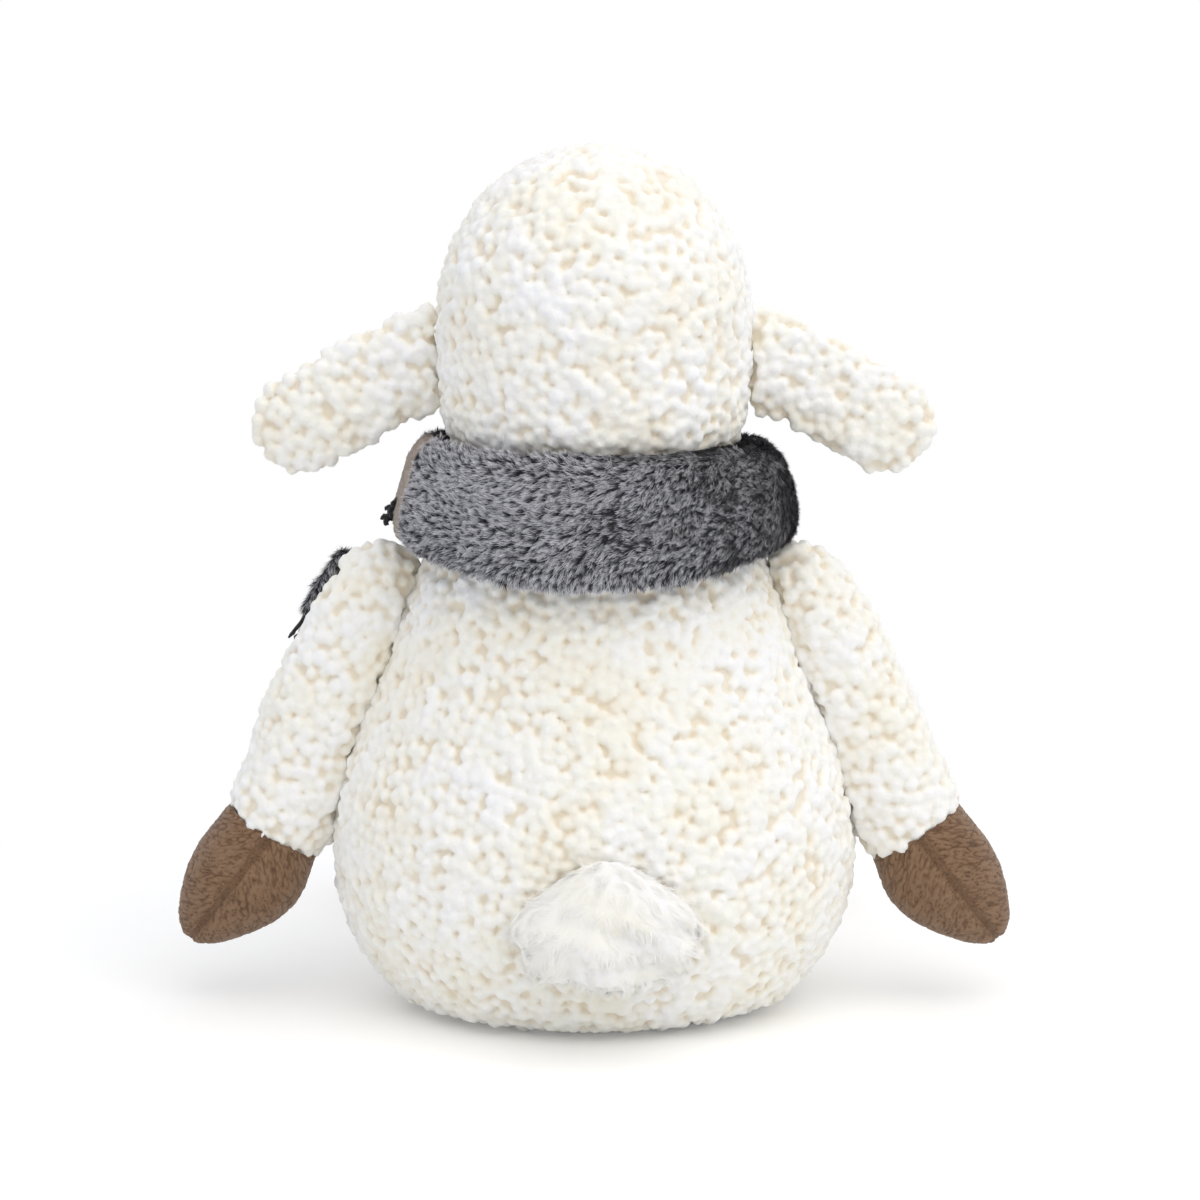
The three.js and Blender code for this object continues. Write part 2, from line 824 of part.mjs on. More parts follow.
function scarfTurn(grow = 0) {
  const tilt = radians(scarfTiltDegrees);
  const corners = [];
  const index = [];
  for (let i = 0; i < turnSteps; i++) {
    const round = (2 * Math.PI * i) / turnSteps;
    const sideways = Math.cos(round) ** 2;
    const radius = scarfRadius + scarfSideRadius * sideways;
    const middle = scarfMiddle - scarfDip * (1 - sideways);
    const fold = radians(scarfFoldDegrees) - round;
    const fallen = THREE.MathUtils.clamp(Math.sin(fold), ...foldTurnShares);
    const foldHeight = foldStartShare - foldFallShare * fallen;
    for (let j = 0; j < turnSides; j++) {
      const angle = (2 * Math.PI * j) / turnSides;
      const offFold = (Math.sin(angle) - foldHeight) / foldWidthShare;
      const crease = Math.cos(angle) > 0 ? Math.exp(-(offFold ** 2)) : 0;
      const out = (scarfThickness / 2 + grow) * Math.cos(angle) - scarfFoldDepth * crease;
      const tall = scarfHeight * THREE.MathUtils.lerp(1, scarfSideShare, sideways);
      const up = (tall / 2 + grow) * Math.sin(angle);
      const far = radius + out * Math.cos(tilt) - up * Math.sin(tilt);
      const high = middle + up * Math.cos(tilt) + out * Math.sin(tilt);
      corners.push(new THREE.Vector3(far * Math.cos(round), far * Math.sin(round), high));
      const nextI = ((i + 1) % turnSteps) * turnSides;
      const nextJ = (j + 1) % turnSides;
      const here = i * turnSides;
      index.push(here + j, nextI + j, nextI + nextJ, here + j, nextI + nextJ, here + nextJ);
    }
  }
  const geometry = new THREE.BufferGeometry().setFromPoints(corners);
  geometry.setIndex(index);
  return geometry;
}

// A point on the scarf's outer face, round from the sheep's left.
function onScarf(degrees, up, out) {
  const angle = radians(degrees);
  const far = scarfRadius + scarfSideRadius * Math.cos(angle) ** 2 + out;
  return new THREE.Vector3(far * Math.cos(angle), far * Math.sin(angle), scarfMiddle + up);
}

function knotForm(grow = 0) {
  const knot = pillow({
    middle: new THREE.Vector3(),
    width: knotThickness,
    depth: knotWidth,
    height: knotHeight,
    grow,
  });
  knot.rotateY(-radians(scarfTiltDegrees));
  knot.rotateZ(radians(knotDegrees));
  const place = onScarf(knotDegrees, -scarfDip, scarfThickness / 4);
  knot.translate(place.x, place.y, place.z);
  return knot;
}

// [along, width, thickness] of a hanging scarf end, which is flat cloth and nearly square at its fringe
const scarfEndShares = [
  [0, 0, 0],
  [0.01, 0.55, 0.5],
  [0.12, 0.76, 0.95],
  [0.45, 0.94, 1],
  [0.8, 1, 0.95],
  [0.985, 0.98, 0.7],
  [1, 0, 0],
];

function endForm(path, side, grow = 0) {
  const rows = scarfEndShares.map(([s, w, t]) => [
    s,
    (w * scarfEndWidth) / 2,
    (t * scarfEndThickness) / 2,
  ]);
  return stuffedForm({ path, side, rows, grow, rings: coreRings + 2, sides: coreSides });
}

// The front end hangs on the chest from the scarf's lower edge.
const frontEndAxis = new THREE.Vector3(
  -Math.sin(radians(frontEndDegrees)),
  Math.cos(radians(frontEndDegrees)),
  0,
);
const frontEndTop = onScarf(frontEndDegrees, -scarfHeight / 2 - seamGap, scarfThickness / 2);

function frontEndPath() {
  const clear = scarfEndThickness / 2 + seamGap;
  const bottom = frontEndTop.z - frontEndLength;
  const low = onTorso(bottom / torsoHeight, frontEndDegrees, clear);
  const middle = onTorso((bottom + frontEndLength / 2) / torsoHeight, frontEndDegrees, clear);
  return new THREE.CatmullRomCurve3([frontEndTop, middle.lerp(frontEndTop, 0.2), low]);
}

// Places a box that is given in the left arm's own frame: outwards, to the back and up the arm.
function placeBesideArm(box) {
  box.rotateY(-armAngle);
  box.translate(shoulder.x + armOffset, shoulder.y, shoulder.z);
  return box;
}

// A layer over the left sleeve's surface, as thick as it is given.
function layerOnArm(thickness, sides = limbSides, rings = limbRings) {
  const outside = solid(armForm(seamGap + thickness, 1, sides, rings));
  return outside.subtract(solid(armForm(seamGap, 1, sides, rings)));
}

// The side end is draped over the outside and the front of the left upper arm and tacked to its sleeve.
function sideEndForm(grow = 0, sides = limbSides, rings = limbRings) {
  const low = new THREE.Vector3(sideEndInside - grow, -armDepth, -sideEndStart - sideEndLength - grow);
  const high = new THREE.Vector3(armWidth, sideEndBack + grow, -sideEndStart + grow);
  const strip = solid(placeBesideArm(boxBetween(low, high)));
  return layerOnArm(sideEndThickness + grow, sides, rings).intersect(strip);
}

// A comb of yarn strands hanging from a bar, made flat in XZ with its top edge at the origin.
function fringeComb(width, thickness, length) {
  const shape = new THREE.Shape();
  const half = (width / 2) * fringeWidthShare;
  const pitch = (2 * half) / fringeStrands;
  const [tipLeft, tipRight, root] = strandShares;
  const [shortLeft, shortRight] = strandTipShares;
  shape.moveTo(-half, 0);
  for (let i = 0; i < fringeStrands; i++) {
    const left = -half + i * pitch;
    shape.lineTo(left, -fringeBar);
    shape.lineTo(left + pitch * tipLeft, -fringeBar - length * (i % 2 ? shortLeft : 1));
    shape.lineTo(left + pitch * tipRight, -fringeBar - length * (i % 2 ? 1 : shortRight));
    shape.lineTo(left + pitch * root, -fringeBar);
  }
  shape.lineTo(half, -fringeBar);
  shape.lineTo(half, 0);
  const comb = new THREE.ExtrudeGeometry(shape, { depth: thickness, bevelEnabled: false });
  comb.rotateX(Math.PI / 2);
  comb.translate(0, thickness / 2, 0);
  return comb;
}

// The side end's fringe lies round the arm as the end does: a thick comb, of which the layer keeps a curve.
function sideFringeForm() {
  const facing = radians(sideFringeTurnDegrees);
  const comb = fringeComb(sideEndAcross, armWidth, sideFringeLength);
  comb.rotateZ(facing);
  const far = armWidth / 2;
  comb.translate(far * Math.sin(facing), -far * Math.cos(facing), -sideEndStart - sideEndLength - seamGap);
  return layerOnArm(fringeThickness).intersect(solid(placeBesideArm(comb)));
}

// Hangs the comb at the far end of a scarf end, in line with its cloth.
function hangFringe(path, side) {
  const comb = fringeComb(scarfEndWidth, fringeThickness, fringeLength);
  const down = path.getTangentAt(1);
  const across = new THREE.Vector3().crossVectors(side, down);
  comb.applyMatrix4(new THREE.Matrix4().makeBasis(side, across, down.clone().negate()));
  const place = path.getPointAt(1).addScaledVector(down, seamGap);
  comb.translate(place.x, place.y, place.z);
  return comb;
}

function makeScarf() {
  const frontPath = frontEndPath();
  const sideEndCopy = geometryOf(sideEndForm(coarseGap, coarseSides, coarseRings));
  const sideEndPassed = swept(sideEndCopy, shoulder, shoulderAxis, -armForwardDegrees, armBackDegrees);
  const armSweeps = [1, -1].map((hand) => {
    const pivot = new THREE.Vector3(shoulder.x * hand, shoulder.y, shoulder.z);
    const axis = new THREE.Vector3(shoulderAxis.x, 0, shoulderAxis.z * hand);
    const limits = [-armForwardDegrees, armBackDegrees];
    return swept(armForm(coarseGap, hand, coarseSides, coarseRings), pivot, axis, ...limits);
  });
  const neighbours = [torsoClear, headTurning, sideEndPassed, ...armSweeps];
  const clearOf = (made) => biggest(neighbours.reduce((left, tool) => left.subtract(tool), made));
  const turn = clearOf(solid(scarfTurn()));
  const knot = clearOf(solid(knotForm()).subtract(solid(scarfTurn(seamGap))));
  const near = solid(knotForm(seamGap)).add(solid(scarfTurn(seamGap)));
  const turnPassed = swept(scarfTurn(seamGap), frontEndTop, frontEndAxis, 0, frontEndLiftDegrees);
  const frontEnd = solid(endForm(frontPath, frontEndAxis)).subtract(torsoClear).subtract(turnPassed);
  const sideEnd = biggest(sideEndForm().subtract(near).subtract(armTorsoPassed));
  const sideFringe = biggest(sideFringeForm().subtract(armTorsoPassed));
  return {
    worn: [
      piece("scarf_turn", turn, materials.fur),
      piece("scarf_knot", knot, materials.fur),
      piece("scarf_side_end", sideEnd, materials.fur),
      piece("scarf_side_fringe", sideFringe, materials.fringe),
    ],
    hanging: [
      piece("scarf_front_end", frontEnd, materials.fur),
      piece("scarf_front_fringe", solid(hangFringe(frontPath, frontEndAxis)), materials.fringe),
    ],
  };
}

const sheep = new THREE.Group();
const scarf = makeScarf();
sheep.add(...makeTorso(), ...scarf.worn, ...scarf.hanging);
sheep.add(...makeHead(), ...makeEars().flat());
sheep.add(...makeArms().flat(), ...makeLegs().flat(), ...makeTail());

export default sheep;
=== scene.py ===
"""Plush sheep seen from behind: curly fleece, short-plush hooves, a fluffy tail and a faux-fur scarf.

Lengths are in metres. The toy sits on z = 0 and faces -Y, and the camera stands behind it.
"""

import math
from itertools import product

import bpy
import numpy as np
from mathutils import Matrix, Vector
from mathutils.bvhtree import BVHTree
from mathutils.kdtree import KDTree
from mathutils.noise import noise as perlin


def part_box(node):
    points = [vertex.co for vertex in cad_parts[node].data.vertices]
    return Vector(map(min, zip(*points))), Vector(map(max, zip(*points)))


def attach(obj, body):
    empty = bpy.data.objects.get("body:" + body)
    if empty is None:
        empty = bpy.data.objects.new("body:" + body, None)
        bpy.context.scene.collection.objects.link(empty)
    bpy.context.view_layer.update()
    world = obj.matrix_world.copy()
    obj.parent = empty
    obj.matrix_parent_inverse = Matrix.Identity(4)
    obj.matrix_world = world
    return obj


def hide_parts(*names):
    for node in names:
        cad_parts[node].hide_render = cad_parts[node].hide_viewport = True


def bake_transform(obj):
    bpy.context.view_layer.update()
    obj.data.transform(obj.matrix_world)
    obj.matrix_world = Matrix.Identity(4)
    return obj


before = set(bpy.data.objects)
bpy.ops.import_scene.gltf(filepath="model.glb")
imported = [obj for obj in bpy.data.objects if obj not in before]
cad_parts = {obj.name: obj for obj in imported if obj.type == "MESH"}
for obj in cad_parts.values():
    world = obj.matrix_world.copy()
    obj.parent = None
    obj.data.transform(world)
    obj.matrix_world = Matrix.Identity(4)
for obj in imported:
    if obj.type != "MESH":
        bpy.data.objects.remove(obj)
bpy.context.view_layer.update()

MM = 0.001
SIDES = {"left": 1, "right": -1}
TINY = 1e-9  # keeps a division from going by zero

# Photograph: its scale and where the toy stands in it
PHOTO_WIDTH_PX = 1200
PX = 0.345 * MM
GROUND_PX = (594, 1005)
CAMERA_UP_DEGREES = 8
LENS_MM = 100
SENSOR_MM = 36


def linear(hex_colour):
    """An sRGB hex colour as linear RGBA."""
    parts = [int(hex_colour[i : i + 2], 16) / 255 for i in (1, 3, 5)]
    return tuple(c / 12.92 if c <= 0.04045 else ((c + 0.055) / 1.055) ** 2.4 for c in parts) + (1.0,)


# Camera, floor and light


def make_camera():
    """A long lens behind the toy and a little above it, which frames it as the photo does."""
    tilt = math.radians(CAMERA_UP_DEGREES)
    middle_px = PHOTO_WIDTH_PX / 2
    aside_px, under_px = GROUND_PX[0] - middle_px, GROUND_PX[1] - middle_px
    target = Vector((aside_px * PX, 0, under_px * PX / math.cos(tilt)))
    away = PHOTO_WIDTH_PX * PX * LENS_MM / SENSOR_MM
    place = target + away * Vector((0, math.cos(tilt), math.sin(tilt)))
    bpy.ops.object.camera_add(location=place)
    camera = bpy.context.object
    camera.rotation_euler = (target - place).to_track_quat("-Z", "Y").to_euler()
    camera.data.lens = LENS_MM
    camera.data.sensor_width = SENSOR_MM
    bpy.context.scene.camera = camera


def aimed_light(name, place, target, size, watts, colour):
    bpy.ops.object.light_add(type="AREA", location=place)
    lamp = bpy.context.object
    lamp.name = name
    lamp.data.shape = "DISK"
    lamp.data.size = size
    lamp.data.energy = watts
    lamp.data.color = linear(colour)[:3]
    lamp.rotation_euler = (Vector(target) - Vector(place)).to_track_quat("-Z", "Y").to_euler()


AMBIENT = 0.8
FLOOR_CLEAR = 0.24  # radius where the floor starts to fade into the white round it
FLOOR_RADIUS = 0.44
FLOOR_FADED = FLOOR_RADIUS * 0.97  # radius where it has faded out, just short of its edge
FLOOR_GLOW = 0.17  # lifts the floor to white for the camera alone, under its own shadow


def make_studio():
    """White all round, a soft key light from the upper right behind the sheep and a floor that fades out."""
    world = bpy.data.worlds.new("studio")
    bpy.context.scene.world = world
    world.use_nodes = True
    tree = world.node_tree
    tree.nodes.clear()
    rays = add(tree, "ShaderNodeLightPath").outputs
    seen = maths(tree, "MAXIMUM", rays["Is Camera Ray"], rays["Is Glossy Ray"])
    seen = maths(tree, "MAXIMUM", seen, rays["Is Transmission Ray"])
    ambient = add(tree, "ShaderNodeBackground", {"Color": linear("#f6f8ff"), "Strength": AMBIENT})
    white = add(tree, "ShaderNodeBackground", {"Color": (1, 1, 1, 1), "Strength": 1.0})
    mixed = add(tree, "ShaderNodeMixShader", {0: seen, 1: ambient.outputs[0], 2: white.outputs[0]})
    add(tree, "ShaderNodeOutputWorld", {"Surface": mixed.outputs[0]})
    bpy.context.scene.view_settings.view_transform = "Standard"

    aimed_light(
        "key", place=(-0.55, 0.85, 1.5), target=(0, 0, 0.14), size=2.4, watts=15, colour="#fffaf2"
    )

    deselect()
    bpy.ops.mesh.primitive_circle_add(vertices=96, radius=FLOOR_RADIUS, fill_type="NGON")
    floor = bpy.context.object
    floor.name = "floor"
    material, tree, shader = surface("studio_floor", roughness=0.9, specular=0.1)
    shader.inputs["Base Color"].default_value = linear("#f7f7f5")
    where = add(tree, "ShaderNodeTexCoord").outputs["Object"]
    away = add(tree, "ShaderNodeVectorMath", {0: where}, operation="LENGTH").outputs["Value"]
    radii = {"Value": away, "From Min": FLOOR_CLEAR, "From Max": FLOOR_FADED}
    fade = add(tree, "ShaderNodeMapRange", radii, interpolation_type="SMOOTHSTEP")
    camera_ray = add(tree, "ShaderNodeLightPath").outputs["Is Camera Ray"]
    glow = add(tree, "ShaderNodeEmission", {"Strength": maths(tree, "MULTIPLY", camera_ray, FLOOR_GLOW)})
    lit = add(tree, "ShaderNodeAddShader", {0: shader.outputs[0], 1: glow.outputs[0]})
    clear = add(tree, "ShaderNodeBsdfTransparent")
    mixed = add(tree, "ShaderNodeMixShader", {0: fade.outputs[0], 1: lit.outputs[0], 2: clear.outputs[0]})
    output = next(n for n in tree.nodes if n.type == "OUTPUT_MATERIAL")
    tree.links.new(mixed.outputs[0], output.inputs["Surface"])
    floor.data.materials.append(material)


# Materials


def add(tree, kind, inputs=None, **settings):
    """Adds one node. inputs maps a socket to a value, or to another node's output."""
    node = tree.nodes.new(kind)
    for name, value in settings.items():
        setattr(node, name, value)
    for name, value in (inputs or {}).items():
        socket = node.inputs[name]
        if isinstance(value, bpy.types.NodeSocket):
            tree.links.new(value, socket)
        else:
            socket.default_value = value
    return node


def ramp(tree, factor, stops):
    """A colour ramp with (place, hex colour) stops."""
    node = add(tree, "ShaderNodeValToRGB", {"Fac": factor})
    band = node.color_ramp
    while len(band.elements) < len(stops):
        band.elements.new(1)
    for element, (place, colour) in zip(band.elements, stops):
        element.position = place
        element.color = linear(colour)
    return node.outputs["Color"]


def surface(name, roughness, sheen=0.0, specular=0.5, coat=0.0):
    """A new material with one Principled shader. Returns it, its node tree and the shader."""
    material = bpy.data.materials.new(name)
    material.use_nodes = True
    tree = material.node_tree
    shader = next(n for n in tree.nodes if n.type == "BSDF_PRINCIPLED")
    sockets = ("Roughness", "Sheen Weight", "Specular IOR Level", "Coat Weight")
    for socket, value in zip(sockets, (roughness, sheen, specular, coat)):
        shader.inputs[socket].default_value = value
    return material, tree, shader


def noise(tree, size, detail=2.0, stretch=(1, 1, 1)):
    """Noise whose lumps are about size metres across, on Object coordinates."""
    where = add(tree, "ShaderNodeTexCoord").outputs["Object"]
    scale = tuple(s / size for s in stretch)
    scaled = add(tree, "ShaderNodeMapping", {"Vector": where, "Scale": scale})
    made = add(tree, "ShaderNodeTexNoise", {"Vector": scaled.outputs[0], "Scale": 1.0, "Detail": detail})
    return made.outputs["Fac"]


def attribute(tree, name):
    return add(tree, "ShaderNodeAttribute", attribute_name=name).outputs["Fac"]


def maths(tree, operation, a, b):
    return add(tree, "ShaderNodeMath", {0: a, 1: b}, operation=operation).outputs[0]


def blended(tree, factor, a, b, kind="MIX"):
    """Two colours mixed by a factor. Each is a hex colour or another node's output."""
    a, b = (linear(colour) if isinstance(colour, str) else colour for colour in (a, b))
    mix = add(tree, "ShaderNodeMix", {0: factor, 6: a, 7: b}, data_type="RGBA", blend_type=kind)
    return mix.outputs[2]


def bumped(tree, shader, height, distance, strength):
    bump = add(tree, "ShaderNodeBump", {"Height": height, "Distance": distance, "Strength": strength})
    tree.links.new(bump.outputs["Normal"], shader.inputs["Normal"])


def fleece_material(name, deep, low, high):
    """Boucle fleece: looped polyester yarn, matt, palest on top of each curl and beige between them, where
    the beige is painted shade in the crevices.
    """
    material, tree, shader = surface(name, roughness=0.95, sheen=0.3, specular=0.1)
    shader.inputs["Subsurface Weight"].default_value = 0.6
    shader.inputs["Subsurface Radius"].default_value = (1.0, 0.92, 0.8)
    shader.inputs["Subsurface Scale"].default_value = 1.4 * MM
    # painted shade: the lower a place lies between the curls, the more beige its colour
    yarn = ramp(tree, attribute(tree, "pile"), ((0.1, deep), (0.35, low), (0.7, high)))
    patches = ramp(tree, noise(tree, 26 * MM), ((0.35, "#fbf8f1"), (0.65, "#ffffff")))
    tree.links.new(blended(tree, 1.0, yarn, patches, "MULTIPLY"), shader.inputs["Base Color"])
    bumped(tree, shader, noise(tree, 0.8 * MM, 3.0), 0.3 * MM, 0.6)
    return material


def plush_material(name, dark, mid, light):
    """Short-pile knitted plush: cut pile that lies in streaks, with dark painted shade between them."""
    material, tree, shader = surface(name, roughness=0.85, sheen=0.25, specular=0.15)
    patches = maths(tree, "MULTIPLY", noise(tree, 9 * MM, 3.0), 0.3)
    height = maths(tree, "ADD", maths(tree, "MULTIPLY", attribute(tree, "pile"), 0.75), patches)
    # painted shade: the lower the pile stands, the darker its colour
    colour = ramp(tree, height, ((0.12, dark), (0.45, mid), (0.95, light)))
    tree.links.new(colour, shader.inputs["Base Color"])
    bumped(tree, shader, noise(tree, 0.5 * MM, 3.0), 0.25 * MM, 0.8)
    return material


def fur_material(name, root, mid, tip, dim):
    """Faux fur: straight acrylic fibre, coloured from its root to its tip. dim tints the darkest tufts."""
    material, tree, shader = surface(name, roughness=0.6, sheen=0.1, specular=0.3)
    along = ramp(tree, attribute(tree, "pile"), ((0.1, root), (0.5, mid), (1.0, tip)))
    tone = ramp(tree, attribute(tree, "tone"), ((0.0, dim), (0.8, "#ffffff")))
    tree.links.new(blended(tree, 1.0, along, tone, "MULTIPLY"), shader.inputs["Base Color"])
    return material


def backing_material(name, dark, light, rim, size):
    """Knitted backing cloth under the pile, mottled, with a paler rim where the pile is worn short."""
    material, tree, shader = surface(name, roughness=0.95, specular=0.1)
    mottled = ramp(tree, noise(tree, size, 4.0), ((0.3, dark), (0.7, light)))
    bare = blended(tree, attribute(tree, "rim"), mottled, rim)
    tree.links.new(bare, shader.inputs["Base Color"])
    bumped(tree, shader, noise(tree, 0.8 * MM, 3.0), 0.4 * MM, 0.8)
    return material


def yarn_material(name, dark, light):
    """Spun acrylic yarn or thread: fine plies that catch a dull light."""
    material, tree, shader = surface(name, roughness=0.7, sheen=0.2, specular=0.3)
    plies = ramp(tree, noise(tree, 0.8 * MM, 2.0, (1, 1, 0.4)), ((0.35, dark), (0.65, light)))
    tree.links.new(plies, shader.inputs["Base Color"])
    bumped(tree, shader, noise(tree, 0.5 * MM, 2.0, (1, 1, 0.4)), 0.3 * MM, 0.8)
    return material


def gloss_material(name, colour):
    """Moulded acrylic: black, polished, with the faintest flow marks."""
    material, tree, shader = surface(name, roughness=0.08, specular=0.5, coat=0.4)
    shade = ramp(tree, noise(tree, 2 * MM, 2.0), ((0.3, colour), (0.8, "#1a1512")))
    tree.links.new(shade, shader.inputs["Base Color"])
    return material


# Meshes


def deselect():
    bpy.ops.object.select_all(action="DESELECT")


def activate(piece):
    deselect()
    piece.select_set(True)
    bpy.context.view_layer.objects.active = piece


def apply_modifier(piece, kind, **settings):
    activate(piece)
    modifier = piece.modifiers.new(kind.lower(), kind)
    for name, value in settings.items():
        setattr(modifier, name, value)
    bpy.ops.object.modifier_apply(modifier=modifier.name)


def remesh(piece, voxel, rounds, inset=0):
    """Gives a piece an even mesh, smooths it in rounds and draws it in."""
    apply_modifier(piece, "REMESH", mode="VOXEL", voxel_size=voxel, adaptivity=0)
    apply_modifier(piece, "SMOOTH", factor=0.5, iterations=rounds)
    if inset:
        apply_modifier(piece, "DISPLACE", strength=-inset, mid_level=0)


def smooth_shade(piece):
    activate(piece)
    bpy.ops.object.shade_smooth()


def duplicate(piece):
    copy = bpy.data.objects.new(piece.name, piece.data.copy())
    bpy.context.collection.objects.link(copy)
    return copy


def joined(name, *pieces):
    """Makes one piece of one or more."""
    activate(pieces[0])
    for piece in pieces:
        piece.select_set(True)
    if len(pieces) > 1:
        bpy.ops.object.join()
    piece = bpy.context.object
    piece.name = name
    piece.data.name = name
    return piece


WELD = 0.01 * MM  # corners nearer than this are one


def from_nodes(name, *nodes):
    """A new piece that starts as a merged copy of CAD solids."""
    copies = [duplicate(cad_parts[node]) for node in nodes]
    for copy in copies:
        copy.data.materials.clear()
    piece = joined(name, *copies)
    bpy.ops.object.mode_set(mode="EDIT")
    bpy.ops.mesh.select_all(action="SELECT")
    bpy.ops.mesh.remove_doubles(threshold=WELD)
    bpy.ops.object.mode_set(mode="OBJECT")
    return piece


def coordinates(piece, kind="co"):
    """A piece's corners, or with kind="normal" the smooth normals there."""
    flat = np.empty(len(piece.data.vertices) * 3)
    piece.data.vertices.foreach_get(kind, flat)
    return flat.reshape(-1, 3)


def set_coordinates(piece, points):
    piece.data.vertices.foreach_set("co", np.asarray(points, dtype=np.float32).ravel())
    piece.data.update()


def node_points(node):
    return coordinates(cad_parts[node])


def seam_along(axis, near, far):
    """How far along an axis the seam between two solids is."""
    return ((node_points(near) @ axis).max() + (node_points(far) @ axis).min()) / 2


def unit(*vector):
    return np.array(vector, dtype=float) / np.linalg.norm(vector)


def unit_rows(vectors):
    return vectors / np.maximum(np.linalg.norm(vectors, axis=1, keepdims=True), TINY)


def smoothstep(values, low, high):
    """Rises smoothly from 0 at low to 1 at high."""
    t = np.clip((values - low) / (high - low), 0, 1)
    return t * t * (3 - 2 * t)


def lumps(points, size, seed):
    """Smooth random numbers from 0 to 1 over space, about size across."""
    rng = np.random.default_rng(seed)
    total = np.zeros(len(points))
    for octave in range(4):
        direction = rng.normal(size=3)
        direction /= np.linalg.norm(direction)
        swirl = rng.normal(size=3)
        bend = np.sin(points @ swirl / size * 0.7 + rng.uniform(0, 7))
        total += np.sin(points @ direction * (2.2 + octave) / size + 1.7 * bend + rng.uniform(0, 7))
    return np.clip(0.5 + total / 5, 0, 1)


def label(piece, name, values):
    """Keeps one number for each corner of a mesh, which its material reads."""
    layer = piece.data.attributes.new(name, "FLOAT", "POINT")
    layer.data.foreach_set("value", np.asarray(values, dtype=np.float32))


CLOTH_PRESSURE = 2.0  # of the stuffing on its cloth
CLOTH_FRAMES = 14


def stuff(piece, voxel, inset, most=3 * MM):
    """Turns a copied solid into stuffed cloth: remeshed, drawn in by the depth of its pile and blown up a
    little by simulated pressure, no point moving by more than most."""
    remesh(piece, voxel, 4, inset)
    start = coordinates(piece)
    cloth = piece.modifiers.new("cloth", "CLOTH")
    cloth.settings.quality = 5
    cloth.settings.mass = 0.3
    cloth.settings.tension_stiffness = 8
    cloth.settings.compression_stiffness = 8
    cloth.settings.use_pressure = True
    cloth.settings.uniform_pressure_force = CLOTH_PRESSURE
    cloth.settings.effector_weights.gravity = 0
    cloth.collision_settings.use_collision = False
    for at in range(1, CLOTH_FRAMES + 1):
        bpy.context.scene.frame_set(at)
    activate(piece)
    bpy.ops.object.modifier_apply(modifier=cloth.name)
    bpy.context.scene.frame_set(1)
    moved = coordinates(piece) - start
    reach = np.linalg.norm(moved, axis=1, keepdims=True)
    set_coordinates(piece, start + moved * np.minimum(1, most / np.maximum(reach, TINY)))


FLOOR_CLEARANCE = 0.1 * MM


def rest_on_floor(piece):
    """Nothing soft goes through the floor: what would is flattened on it."""
    points = coordinates(piece)
    points[:, 2] = np.maximum(points[:, 2], FLOOR_CLEARANCE)
    set_coordinates(piece, points)


def triangles(piece, keep):
    """A mesh's triangles: corners, the smooth normals there, and areas, which are 0 where keep says no."""
    mesh = piece.data
    mesh.calc_loop_triangles()
    index = np.empty(len(mesh.loop_triangles) * 3, dtype=np.int64)
    mesh.loop_triangles.foreach_get("vertices", index)
    index = index.reshape(-1, 3)
    corners, normals = coordinates(piece)[index], coordinates(piece, "normal")[index]
    cross = np.cross(corners[:, 1] - corners[:, 0], corners[:, 2] - corners[:, 0])
    area = np.linalg.norm(cross, axis=1) / 2
    if keep is not None:
        area = area * keep(corners.mean(axis=1), normals.mean(axis=1))
    return corners, normals, area


def spread(piece, count, rng, keep):
    """Random places on a piece's surface, evenly dense: points and normals."""
    corners, normals, area = triangles(piece, keep)
    chosen = rng.choice(len(area), size=count, p=area / area.sum())
    u, v = rng.random(count), rng.random(count)
    flip = u + v > 1
    u[flip], v[flip] = 1 - u[flip], 1 - v[flip]
    weights = np.stack([1 - u - v, u, v], axis=1)[:, :, None]
    points = (corners[chosen] * weights).sum(axis=1)
    return points, unit_rows((normals[chosen] * weights).sum(axis=1))


TRIES = 5  # random places for each square of the spacing


def spaced(piece, spacing, rng, keep):
    """Places on a piece's surface that are no nearer to each other than the spacing."""
    count = int(TRIES * triangles(piece, keep)[2].sum() / spacing**2)
    points, normals = spread(piece, count, rng, keep)
    cells = np.floor(points / spacing).astype(int)
    taken, kept = {}, []
    for i, cell in enumerate(map(tuple, cells)):
        near = (
            j
            for dx, dy, dz in product((-1, 0, 1), repeat=3)
            for j in taken.get((cell[0] + dx, cell[1] + dy, cell[2] + dz), ())
        )
        if all(((points[i] - points[j]) ** 2).sum() >= spacing**2 for j in near):
            taken.setdefault(cell, []).append(i)
            kept.append(i)
    return points[kept], normals[kept]


def frames_on(normals, along):
    """Turning matrices that stand a shape's Z on each normal and turn its Y as near to along as it goes."""
    across = unit_rows(np.cross(along, normals))
    forward = np.cross(normals, across)
    return np.stack([across, forward, normals], axis=2)


